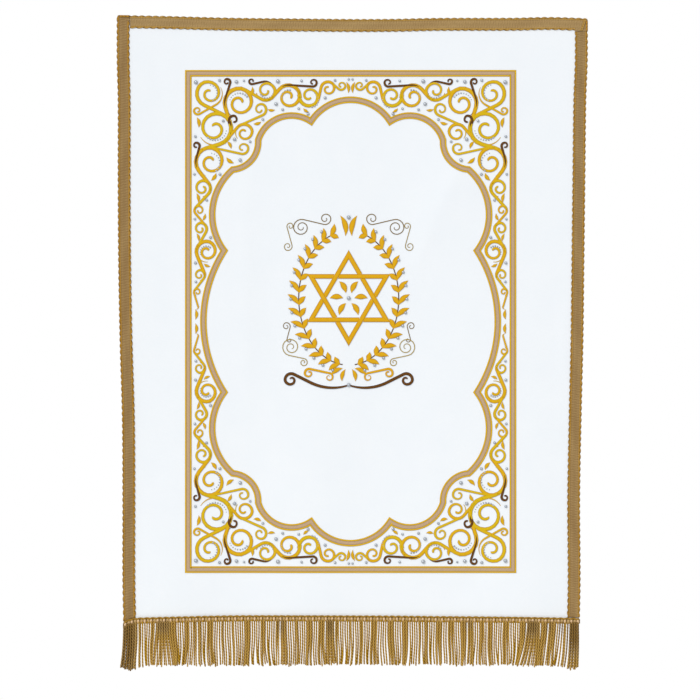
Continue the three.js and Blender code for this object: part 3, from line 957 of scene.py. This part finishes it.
def bead_row(x, z, radius, start, sweep, count, first, last):
    """The places and sizes of beads along an arc, graded evenly."""
    angle = np.radians(np.linspace(start, start + sweep, count))
    size = np.linspace(first, last, count)
    return np.column_stack([x + radius * np.cos(angle), z + radius * np.sin(angle), size])


def hemmed_shares(count, hem):
    """Even shares from 0 to 1, with two close together where each turned hem ends."""
    ends = [hem, hem + HEM_STEP, 1 - hem, 1 - hem - HEM_STEP]
    return np.unique(np.concatenate([np.linspace(0, 1, count), ends]))


def panel_piece(materials):
    """The velvet as one closed sheet. Across and down, the grid follows the curtain's edges. Its
    back steps out by the turned hem's thickness within a hem's width of every edge."""
    hem_u, hem_t = HEM / CURTAIN_WIDE, HEM / HANG_LENGTH
    u, t = hemmed_shares(CLOTH_COLUMNS, hem_u)[None, :], hemmed_shares(CLOTH_ROWS, hem_t)[:, None]
    level = left_edge(0) + (right_edge(0) - left_edge(0)) * u
    top = top_edge(level) - CLOTH_INSET
    bottom = heading_top(level) - CLOTH_BEHIND_HEADING
    z = top + (bottom - top) * t
    left, right = left_edge(z) + CLOTH_INSET, right_edge(z) - CLOTH_INSET
    x = left + (right - left) * u
    turned = (np.minimum(u, 1 - u) <= hem_u + 1e-9) | (np.minimum(t, 1 - t) <= hem_t + 1e-9)
    front = on_cloth(x, z, 0)
    back = on_cloth(x, z, -CLOTH_THICK - HEM_THICK * turned)
    points = np.concatenate([front, back[:, ::-1]], 1)[None]
    on_back = np.where(turned[:-1] & turned[1:], 0, 1)
    zones = np.concatenate([np.zeros_like(on_back), on_back[:, ::-1]], 1)
    zones[:, u.size - 1] = zones[:, -1] = 0
    return make_piece("velvet_panel", [surface(points, zones=zones)], materials, ["panel"])


def scalloped(along, section):
    """The galloon's section at each place along it: the scallop draws its edges in at each notch,
    and the cord's bumps slant across it as its strands do."""
    off, out, share = section.T
    slant = np.sign(off) * (np.abs(off) - CORD_OFF) / CORD_SLANT
    bump = bump_along(along[:, None], SCALLOP_STEPS, slant)
    notch = share * (1 - bump)
    return off - np.sign(off) * SCALLOP_DEEP * notch, out - SCALLOP_SINKS * notch, bump


def galloon(side, place, length, pitch, materials, bright, plain=(1, 0), extra=()):
    """A length of galloon. place(share along, off) gives the flat x and z, so that its ends can be
    cut to a slant. Along is counted in scallop steps, so that every scallop has as many rows. Its
    inner edge is plain between two shares along, where it runs over or under another length."""
    steps = np.arange(round(length / pitch) * SCALLOP_STEPS + 1)
    section = both_sides(BRAID_HALF)
    wide, high, bump = scalloped(steps, section)
    share = (steps / steps[-1])[:, None]
    smooth = (share >= plain[0]) & (share <= plain[1]) & (section[:, 0] > BRAID_PLAIN_FROM)
    wide, high = np.where(smooth, section[:, 0], wide), np.where(smooth, BRAID_PLAIN_OUT, high)
    x, z = place(share, wide)
    along = np.broadcast_to(share * length, x.shape)
    # Painted shade: the edges and the groove by BRAID_SHADE, each scallop's notch darker, and a plain
    # edge a little darker all over.
    shade = np.concatenate([BRAID_SHADE, BRAID_SHADE[::-1]])
    shade = shade * np.where(section[:, 2] > 0, 0.2 + 0.8 * bump, 1)
    shade = np.where(smooth, 0.85, shade)
    columns = np.arange(len(section))
    from_edge = np.minimum(columns, len(section) - 2 - columns)
    zones = np.where((from_edge < BRAID_CORD_COLUMNS) & ~smooth[:-1], 1, 0)
    uv = np.stack([along, wide], -1)[None]
    cloud = np.sin(along / 23 + wide / 7) * np.sin(along / 61)
    rib = np.sin(along / 0.85 + np.sin(along / 37)) * np.sin(along / 9 - wide / 4)
    # bright is painted light: the top length takes a lighter tint than the side lengths, as if more light
    # falls on it. The cloud and the ribs vary the tint along the tape.
    tint = np.clip(bright + 0.15 * cloud + 0.45 * rib, 0, 1)
    body = surface(on_cloth(x, z, high)[None], uv, zones, shade[None], tint[None])
    return make_piece("galloon_" + side, [body, *extra], materials, ["braid_" + side])


def rounded(x, z, corner_x, corner_z, inward):
    """Points moved in to a rounded upper corner. inward is 1 at a left corner, -1 at a right one."""
    dx = (corner_x + inward * CORNER_ROUND - x) * inward
    dz = z - (corner_z - CORNER_ROUND)
    reach = np.hypot(dx, dz)
    outside = (dx > 0) & (dz > 0) & (reach > CORNER_ROUND)
    pull = np.where(outside, CORNER_ROUND / np.maximum(reach, 1e-6), 1)
    return x + inward * dx * (1 - pull), z - dz * (1 - pull)


def rope(path, radius, pitch, low, tint):
    """A twisted cord along one flat path, low above the cloth: a tube whose radius swells in
    slanted bumps."""
    along = run_along(path)
    angle = np.radians(np.arange(0, 360, 45))[None, :]
    bump = bump_along(along[:, None], pitch, angle / (2 * np.pi))
    reach = radius * (0.72 + 0.28 * bump)
    across = across_path(path)
    place = path[:, None, :] + across[:, None, :] * (reach * np.cos(angle))[..., None]
    out = low + radius + reach * np.sin(angle)
    uv = np.stack([np.broadcast_to(along[:, None], reach.shape), reach * np.cos(angle)], -1)
    # Painted shade in the grooves between the bumps.
    shade = 0.3 + 0.7 * bump
    return surface(on_cloth(place[..., 0], place[..., 1], out)[None], uv[None], 1, shade[None], tint)


def corner_cords(rows, corner_x, corner_z, inward):
    """Short twisted cords at an upper corner. inward is 1 at a left corner, -1 at a right one."""
    t = np.linspace(0, 1, CORNER_CORD_POINTS)[:, None]
    cords = []
    for x0, z0, x1, z1, *section in rows:
        path = np.array([x0, z0]) * (1 - t) + np.array([x1, z1]) * t
        cords.append(rope([corner_x, corner_z] + path * [inward, -1], *section))
    return cords


def galloon_pieces(materials):
    """The galloon along the left, top and right. The left length runs to the very top over the top
    length's end, and the right one tucks under a fold at its corner."""
    half = BRAID_WIDTH / 2
    left_corner, right_corner = ((x, top_edge(x)) for x in (left_edge(0), right_edge(0)))
    left_top, left_hem = top_edge(LEFT_ENDS[0]), heading_top(LEFT_ENDS[1])
    right_top, right_hem = top_edge(RIGHT_ENDS[0]), heading_top(RIGHT_ENDS[1])

    def left(share, off):
        z = left_top * (1 - share) + (left_hem + BRAID_GAP) * share
        x = left_edge(z) + half + off
        z = z + (top_edge(x) - left_top) * (1 - share) ** END_POWER
        z = z + (heading_top(x) - left_hem) * share ** END_POWER
        return rounded(x, z, left_edge(z), left_corner[1], 1)

    def right(share, off):
        z = (right_top - BRAID_WIDTH - BRAID_GAP) * (1 - share) + (right_hem + BRAID_GAP) * share
        return right_edge(z) - half - off, z + 0 * off

    def top(share, off):
        start, end = left_corner[0] + BRAID_WIDTH + BRAID_GAP, right_corner[0]
        x = start + (end - start) * share + 0 * off
        return rounded(x, top_edge(x) - half - off, end, right_corner[1], -1)

    # The top length is painted lighter than the sides (bright 0.75 against 0.3 and 0.4), as if more light
    # falls on it.
    return [
        galloon("left", left, HANG_LENGTH, SIDE_SCALLOP, materials, 0.3, (0, LEFT_PLAIN / HANG_LENGTH),
                corner_cords(LEFT_CORDS, *left_corner, 1)),
        galloon("top", top, TOP_LENGTH, TOP_SCALLOP, materials, 0.75, (1 - BRAID_WIDTH / TOP_LENGTH, 1),
                corner_cords(RIGHT_CORDS, *right_corner, -1)),
        galloon("right", right, HANG_LENGTH - BRAID_WIDTH, SIDE_SCALLOP, materials, 0.4),
    ]


def band_surface(path):
    """A sewn-on band along a closed path: satin-stitched edges with a filled middle between."""
    off, out, shade = both_sides(BAND_HALF).T
    points, uv = swept(path[None], off, out, loop=True)
    return surface(points, uv, BAND_ZONES, shade, BAND_YELLOW, loop=True)


def joined_ring(corners, bows, step):
    """A closed path through corners by arcs. An arc's middle stands bow to the right of its chord,
    and every arc has points about step apart."""
    parts = []
    for start, end, bow in zip(corners, np.roll(corners, -1, 0), bows):
        chord = end - start
        length = np.linalg.norm(chord)
        side = np.array([chord[1], -chord[0]]) / length
        t = np.arange(0, 1, step / length)[:, None]
        if abs(bow) > 0:
            turn = 4 * np.arctan(2 * bow / length)
            radius = length / (2 * np.sin(turn / 2))
            angle = turn * (t - 0.5)
            along = 0.5 + radius * np.sin(angle) / length
            parts.append(start + chord * along + side * (bow - radius * (1 - np.cos(angle))))
        else:
            parts.append(start + chord * t)
    return np.concatenate(parts)


def band_pieces(materials):
    """The rectangular band and the lobed band inside it."""
    x, z = (FRAME_WIDE - BAND_WIDTH) / 2, (FRAME_TALL - BAND_WIDTH) / 2
    corners = np.array([(x, -z), (x, z), (-x, z), (-x, -z)], float)
    straight = placed(joined_ring(corners, [0] * 4, 2 * BAND_STEP))
    quarter, bows = LOBES[:, :2], LOBES[:-1, 2]
    half = np.concatenate([quarter, (quarter * [-1, 1])[-2::-1]])
    ring = np.concatenate([half, (half * [1, -1])[-2:0:-1]])
    half_bows = np.concatenate([bows, bows[::-1]])
    lobed = placed(joined_ring(ring, np.concatenate([half_bows, half_bows]), BAND_STEP))
    pieces = []
    for name, node, path in (("frame_band", "frame_", straight), ("lobed_band", "lobes_", lobed)):
        replaced = [node + side for side in ("right", "top", "left", "bottom")]
        pieces.append(make_piece(name, [band_surface(path)], materials, replaced))
    return pieces


def star_piece(materials):
    """Two interlaced triangles in satin stitch. Each side passes over at a third of its length and
    under at two thirds, with a bell-shaped rise or dip."""
    t = np.arange(STAR_STEPS) / STAR_STEPS
    over, under = (np.exp(-((t - middle) / CROSSING_WIDE) ** 2) for middle in (1 / 3, 2 / 3))
    lift = STAR_LIFT + np.tile(CROSSING_RISE * over - CROSSING_DIP * under, 3)
    surfaces = []
    for start in (90, 270):
        angle = np.radians(start + np.array([0, 120, 240]))
        tips = STAR_RADIUS * np.stack([np.cos(angle), np.sin(angle)], -1)
        sides = [a + (b - a) * t[:, None] for a, b in zip(tips, np.roll(tips, -1, 0))]
        path = placed(np.concatenate(sides)[None], x=STAR_X, drop=STAR_DROP)
        surfaces.append(satin(path, STAR_BAND, STAR_YELLOW, lift, loop=True))
    return make_piece("star_motif", surfaces, materials, ["star"])


def stitched(name, motifs, spots, materials):
    """One piece of satin stitch: every motif at every spot. A motif is its paths, widths, tint and
    lift."""
    surfaces = [satin(placed(paths, **spot), *looks) for spot in spots for paths, *looks in motifs]
    return make_piece(name, surfaces, materials)


def scrollwork_pieces(gold, brown):
    """The scrolls, buds and tendrils in the four quarters of the frame."""
    scrolls, tendrils = scroll_paths(stem_rows(STEMS)), scroll_paths(stem_rows(TENDRILS))
    buds = lens_paths(*BUDS[:, :3].T, BUDS[:, 3:4])
    yellow = STEMS[:, 5:] + (1 - 2 * STEMS[:, 5:]) * np.linspace(0, YELLOW_SHIFT, scrolls.shape[1])
    gold_work = [
        (scrolls, pen_widths(scrolls, STEMS[:, 4]), yellow, 0.0),
        (buds, swelling(buds, BUDS[:, 4], 0.06, 1.2), 0.3, 0.25),
    ]
    brown_work = [(tendrils, pen_widths(tendrils, TENDRILS[:, 4]), TENDRILS[:, 5:], 0.35)]
    return [
        stitched("scrollwork", gold_work, QUARTERS, gold),
        stitched("brown_tendrils", brown_work, QUARTERS, brown),
    ]


def on_wreath(degrees, beyond=0):
    """Places on the wreath's ellipse, or on one that lies outside it."""
    angle = np.radians(degrees)
    return np.stack([(WREATH_WIDE + beyond) * np.cos(angle), (WREATH_TALL + beyond) * np.sin(angle)], -1)


def wreath_leaves():
    """Leaves in pairs along a branch. They are longest in its middle, by a half sine."""
    degrees = np.linspace(WREATH_FROM, WREATH_TO, WREATH_LEAVES)
    foot, middle = on_wreath(degrees).T, np.radians(degrees)
    ahead = np.degrees(np.arctan2(WREATH_TALL * np.cos(middle), -WREATH_WIDE * np.sin(middle)))
    size = LEAF_LENGTH * (0.75 + 0.25 * np.sin(np.pi * np.linspace(0.1, 0.9, WREATH_LEAVES)))[:, None]
    outer = lens_paths(*foot, ahead - LEAF_SPLAY, size, curl=0.1)
    inner = lens_paths(*foot, ahead + LEAF_SPLAY, size * INNER_LEAF, curl=-0.1)
    return np.concatenate([outer, inner])


def wreath_pieces(gold, brown):
    """The wreath's two branches and their leaves, the sprays, and the scrolls and swashes by them."""
    leaves, sprays = wreath_leaves(), lens_paths(*SPRAYS[:, :3].T, SPRAYS[:, 3:4])
    branch = on_wreath(np.linspace(WREATH_FROM - 3, WREATH_TO + 4, 60))[None]
    curls, hairs, swashes = (scroll_paths(rows) for rows in (CENTRE_SCROLLS, HAIRLINES, SWASHES))
    gold_work = [
        (leaves, swelling(leaves, LEAF_WIDTH, 0.06, 1.1), 0.15, 0.2),
        (curls, pen_widths(curls, CENTRE_SCROLLS[:, 8]), CENTRE_SCROLLS[:, 9:], 0.2),
        (sprays, swelling(sprays, SPRAYS[:, 4], 0.06, 1.1), 0.15, 0.35),
    ]
    brown_work = [
        (branch, BRANCH_WIDTH, 0.0, 0.0),
        (hairs, swelling(hairs, HAIRLINES[:, 8], 0.7, 0.6), HAIRLINES[:, 9:], 0.0),
        (swashes, swelling(swashes, SWASHES[:, 8], 0.5, 0.8), SWASHES[:, 9:], 0.5),
    ]
    return [
        stitched("wreath", gold_work, HALVES, gold),
        stitched("fine_scrolls", brown_work, HALVES, brown),
    ]


def bead_piece(material):
    """Beads in graded rows and singly in each quarter, as berries along the wreath and on the middle
    line."""
    rows = np.concatenate([bead_row(*row) for row in BEAD_ARCS] + [BEADS])
    berries = on_wreath(np.linspace(WREATH_FROM + 6, WREATH_TO - 6, WREATH_LEAVES - 1), BERRIES_OUT)
    surfaces = [bead_domes(placed(rows[:, :2], **spot), rows[:, 2]) for spot in QUARTERS]
    surfaces += [bead_domes(placed(berries, **spot), BERRY_SIZE) for spot in HALVES]
    centre = [(STAR_X, -STAR_DROP - below) for below in CENTRE_BEADS]
    surfaces.append(bead_domes(centre, CENTRE_BEAD_SIZE))
    return make_piece("beads", surfaces, [material])


def pads(x, fall, wide, tall, low, high, tint):
    """Small pillows on the heading: a dome over an oval that is squarer than an ellipse. Rows go up
    from the cloth and columns go round. Each row has a rise, a share of the width and a shade."""
    rise, shrink, shade = np.array([(0, 1, 0.3), (0.6, 0.95, 0.65), (0.9, 0.7, 0.95), (1, 0.25, 1)]).T
    angle = np.radians(np.arange(0, 360, 36))
    round_x, round_z = (np.abs(way) ** 0.7 * np.sign(way) for way in (np.cos(angle), np.sin(angle)))
    px = x[:, None, None] + wide / 2 * round_x * shrink[:, None]
    pz = (heading_top(x) - fall)[:, None, None] + tall / 2 * round_z * shrink[:, None]
    points = on_cloth(px, pz, low + (high - low) * rise[:, None])
    return surface(points, np.stack([pz, px], -1), 0, shade[:, None], tint)


def heading_piece(materials):
    """The fringe's woven heading: a dark ground, a scalloped cord along its top, pale loops with a
    wider bulge beside each, and a cord under them from which the strands hang."""
    left, right = left_edge(-HANG_LENGTH), right_edge(-HANG_LENGTH)
    fall, out = HEADING_SECTION.T
    x = np.linspace(left, right, HEADING_COLUMNS)[:, None] + 0 * fall
    z = heading_top(x) - fall
    # The ground is painted 0.6 of the way from its dark to its colour: painted shade under the loops and
    # cords.
    ground = surface(on_cloth(x, z, out)[None], np.stack([x, z], -1)[None], 2, 0.6)
    line = np.linspace(left + 2, right - 2, 10 * round((right - left) / HEADING_PITCH))
    notch = 1 - bump_along(line - line[0], HEADING_PITCH)
    cords = [
        rope(np.stack([line, heading_top(line) - fall - deep * notch], -1), *section)
        for fall, deep, *section in HEADING_CORDS
    ]
    place = np.arange(left + 5, right - 4, HEADING_PITCH)
    loops, bulges = pads(place, *LOOP), pads(place[:-1] + 0.55 * HEADING_PITCH, *BULGE)
    return make_piece("fringe_heading", [ground, *cords, loops, bulges], materials, ["fringe"])


def strand_places(chance):
    """Where the strands hang from: x and the distance out. Loose runs, with gaps between the
    strands, take turns with bunches that touch, and a crowd is all bunch."""
    left, right = left_edge(-HANG_LENGTH) + STRAND_RADIUS, right_edge(-HANG_LENGTH) - STRAND_RADIUS
    places, x, bunched = [], float(left), True
    while x < right:
        if any(abs(x - crowd[0]) < crowd[1] / 2 for crowd in CROWDS):
            run, pitch, gap = 1, CROWD_PITCH, 0
        elif bunched:
            run, pitch, gap = chance.integers(2, 6), BUNCH_PITCH, BUNCH_GAP
        else:
            run, pitch, gap = chance.integers(1, 5), LOOSE_PITCH, 0
        places.extend(x + pitch * np.arange(run))
        x += pitch * run + gap
        bunched = not bunched
    x = np.array(places)
    x = x[x < right]
    return x, np.array(LAYERS_OUT)[np.arange(len(x)) % 2]


def crowd_shade(x, fallen):
    """How strongly a crowd shades its strands, 0 to 1: a flat-topped bell across it that fades
    with the way down."""
    shade = np.zeros(np.broadcast(x, fallen).shape)
    for middle, wide, deep, dark, _ in CROWDS:
        bell = np.exp(-((x - middle) / (0.55 * wide)) ** 4)
        shade = np.maximum(shade, dark * bell * np.clip(1.5 - fallen / deep, 0, 1))
    return shade


def tip_pull(x, chance):
    """How far the tips are drawn aside: a crowd's tips fan out from its middle, and about half of
    the loose strands close up with a neighbour to one rounded end."""
    pull = np.zeros(len(x))
    for middle, wide, _, _, fan in CROWDS:
        pull += fan * (x - middle) * np.exp(-((x - middle) / (0.6 * wide)) ** 4)
    first = np.flatnonzero(chance.uniform(size=len(x) // 2) < CLOSING_SHARE) * 2
    apart = x[first + 1] - x[first]
    near = first[(apart > CLOSING_FROM) & (apart < CLOSING_TO)]
    closing = (x[near + 1] - x[near] - CLOSED) / 2
    pull[near] += closing
    pull[near + 1] -= closing
    return pull


def strand_lines(x, chance):
    """Where each strand's middle runs, ring by ring, and its root and tip. It leaves the heading
    straight down, leans with the square of the way, wanders by a sine, alone and with its
    neighbours, and closes up or fans out towards its tip."""
    count = len(x)
    tip = -STRAND_DROP - read_table(FALL, 2, x) + chance.normal(0, TIP_SPREAD, count)
    root = heading_top(x) - HEADING_TALL + STRAND_ROOT
    free = 1 - crowd_shade(x, 0)
    lean = read_table(FALL, 1, x) + LEAN_WAVE * np.sin(2 * np.pi * x / LEAN_WAVE_LONG)
    lean = lean + free * chance.normal(0, LEAN_SPREAD, count)
    sway, phase = chance.normal(0, SWAY_SPREAD, (count, 1)), chance.uniform(0, 6, (count, 1))
    pull = tip_pull(x, chance)
    x, tip, root, free, lean, pull = (value[:, None] for value in (x, tip, root, free, lean, pull))
    way = np.maximum(np.linspace(0, 1, STRAND_RINGS) - 0.08, 0) / 0.92
    middle = x + lean * (0.35 * way + 0.65 * way ** 2) + pull * way ** 1.5
    middle = middle + sway * way * np.sin(phase + 5 * way)
    middle = middle + SHARED_SWAY * free * way * np.sin(x / 19 + 4 * way)
    return middle, root, tip


def strand_tone(x, out, fallen, to_go):
    """How bright each strand is along its way, in painted light and shade, and how far it takes the
    shaded colour. It is brighter in a bunch; painted shade darkens the bunch's back row, a crowd and a
    groove; and it is darker at its tip."""
    crowd = crowd_shade(x, fallen)
    apart = np.minimum(np.diff(x, axis=0, prepend=-999), np.diff(x, axis=0, append=999))
    close, behind = apart < BUNCHED, out == LAYERS_OUT[1]
    tone = (1 - crowd) * (0.75 + 0.25 * np.clip(to_go / 12, 0, 1))
    for groove in GROOVES:
        tone = tone * (1 - 0.6 * np.exp(-((x - groove) / 1.5) ** 2))
    tone = tone * (0.95 + 0.7 * close) * (1 - 0.2 * behind * close)
    return tone, np.maximum(np.minimum(2 * crowd, 1), 0.5 * close)


def strand_pieces(material):
    """Bullion strands: tubes whose two plies turn round each other, so that the radius follows the
    cosine of twice the angle less the turn. Each ends in a rounded tip."""
    chance = np.random.default_rng(STRAND_SEED)
    x, out = strand_places(chance)
    middle, root, tip = strand_lines(x, chance)
    x, out = x[:, None], out[:, None]
    fallen = np.linspace(0, 1, STRAND_RINGS) * (root - tip)
    to_go = root - tip - fallen
    end = np.sqrt(np.clip(1 - (1 - np.clip(to_go / 2, 0, 1)) ** 2, 0.02, 1))
    angle = np.pi / 2 + np.arange(STRAND_CORNERS) * 2 * np.pi / STRAND_CORNERS
    turn = 2 * np.pi * fallen / STRAND_LAY + 5 * x
    ply = np.cos(2 * angle - turn[..., None])
    reach = STRAND_RADIUS * (0.82 + 0.18 * ply) * end[..., None]
    points = on_cloth(middle[..., None] + reach * np.cos(angle), (root - fallen)[..., None],
                      out[..., None] - reach * np.sin(angle))
    tone, tint = strand_tone(x, out, fallen, to_go)
    # Painted highlight on each ply and painted shade in the groove between them, as bright as the tone
    # allows.
    shade = np.clip(tone[..., None] * (0.5 + 0.65 * ply), 0, 1)
    uv = np.stack(np.broadcast_arrays(fallen[..., None], angle), -1)
    pieces = []
    for name, part in zip(("left", "middle", "right"), np.array_split(np.arange(len(x)), 3)):
        body = surface(points[part], uv[part], 0, shade[part], tint[part][..., None])
        pieces.append(make_piece("strands_" + name, [body], [material], ["fringe"]))
    return pieces


def back_stitches(material):
    """Rows of sewing on the back: one holds the turned hem, two hold the galloon and one holds the
    heading. Each stitch is a small low dome on the back."""
    rows = []
    for inset in SEAM_INSETS:
        z = np.arange(-inset, -SEAM_DROP, -STITCH_PITCH)
        for edge, inward in ((left_edge, inset), (right_edge, -inset)):
            rows.append(np.stack([edge(z) + inward, z, np.full_like(z, 90)], -1))
        x = np.arange(-SEAM_HALF + inset, SEAM_HALF - inset, STITCH_PITCH)
        rows.append(np.stack([x, top_edge(x) - inset, np.zeros_like(x)], -1))
    for rise in SEAM_RISES:
        x = np.arange(*HEADING_SEAM, STITCH_PITCH)
        rows.append(np.stack([x, heading_top(x) + rise, np.zeros_like(x)], -1))
    x, z, degrees = np.concatenate(rows).T[..., None, None]
    angle = np.radians(degrees)
    along = STITCH_LONG * np.linspace(-0.5, 0.5, 4)[:, None]
    girth = STITCH_WIDE / 2 * np.array([0.35, 1, 1, 0.35])[:, None]
    off = girth * np.array([-1, -0.6, 0.6, 1])
    px = x + along * np.cos(angle) - off * np.sin(angle)
    pz = z + along * np.sin(angle) + off * np.cos(angle)
    rise = girth * np.array([0, 1, 1, 0])
    points = on_cloth(px, pz, -CLOTH_THICK - HEM_THICK - STITCHES_CLEAR - rise)
    return make_piece("back_sewing", [surface(points, np.stack([px, pz], -1))], [material])


def make_camera():
    """A long lens straight in front, level with the middle of the picture."""
    camera = new_object("camera", bpy.data.cameras.new("camera"))
    camera.data.sensor_width = SENSOR
    camera.data.lens = SENSOR * CAMERA_AWAY / PICTURE_WIDE
    camera.data.clip_end = 100
    camera.location = (PICTURE_X * MM, -CAMERA_AWAY, PICTURE_Z * MM)
    camera.rotation_euler = (np.pi / 2, 0, 0)
    bpy.context.scene.camera = camera


def make_light():
    """Soft light: an even white surround and a broad lamp from the upper left."""
    lamp = new_object("softbox", bpy.data.lights.new("softbox", "SUN"))
    lamp.data.energy = LAMP_STRENGTH
    lamp.data.angle = np.radians(LAMP_SPREAD)
    lamp.rotation_euler = np.radians(LAMP_TURN)
    world = bpy.data.worlds.new("studio")
    world.use_nodes = True
    tree = world.node_tree
    seen = add(tree, "LightPath").outputs["Is Camera Ray"]
    fill = add(tree, "Background", {"Color": colour(WHITE), "Strength": SURROUND_STRENGTH})
    backdrop = add(tree, "Background", {"Color": colour(WHITE), "Strength": 1.0})
    both = add(tree, "MixShader", {0: seen, 1: fill.outputs[0], 2: backdrop.outputs[0]})
    tree.links.new(both.outputs[0], tree.nodes["World Output"].inputs["Surface"])
    bpy.context.scene.world = world
    bpy.context.scene.view_settings.view_transform = "Standard"


def make_floor():
    """A plain pale floor well below the fringe."""
    corners = [(x, y, -FLOOR_DROP) for x in (-FLOOR_HALF, FLOOR_HALF) for y in (-FLOOR_HALF, FLOOR_HALF)]
    mesh = bpy.data.meshes.new("floor")
    mesh.from_pydata(corners, [], [(0, 2, 3, 1)])
    mesh.materials.append(floor_paint())
    new_object("floor", mesh)


make_camera()
make_light()
make_floor()

threads = {name: thread(*row) for name, row in THREADS.items()}
stitch_shadow = painted_stitch_shadow()
gold = [stitch_shadow, threads["gold_satin"]]
brown = [stitch_shadow, threads["brown_satin"]]
heading = [threads[name] for name in ("heading_yarn", "heading_cord", "heading_ground")]

cloth = panel_piece([velvet_pile(), velvet_back()])
on_it = [
    *galloon_pieces([threads["galloon_flat"], threads["galloon_cord"]]),
    *band_pieces([*gold, threads["taupe_fill"]]),
    star_piece(gold),
    *scrollwork_pieces(gold, brown),
    *wreath_pieces(gold, brown),
    bead_piece(silver_bead()),
    heading_piece(heading),
    *strand_pieces(bullion_thread()),
    back_stitches(threads["sewing"]),
]
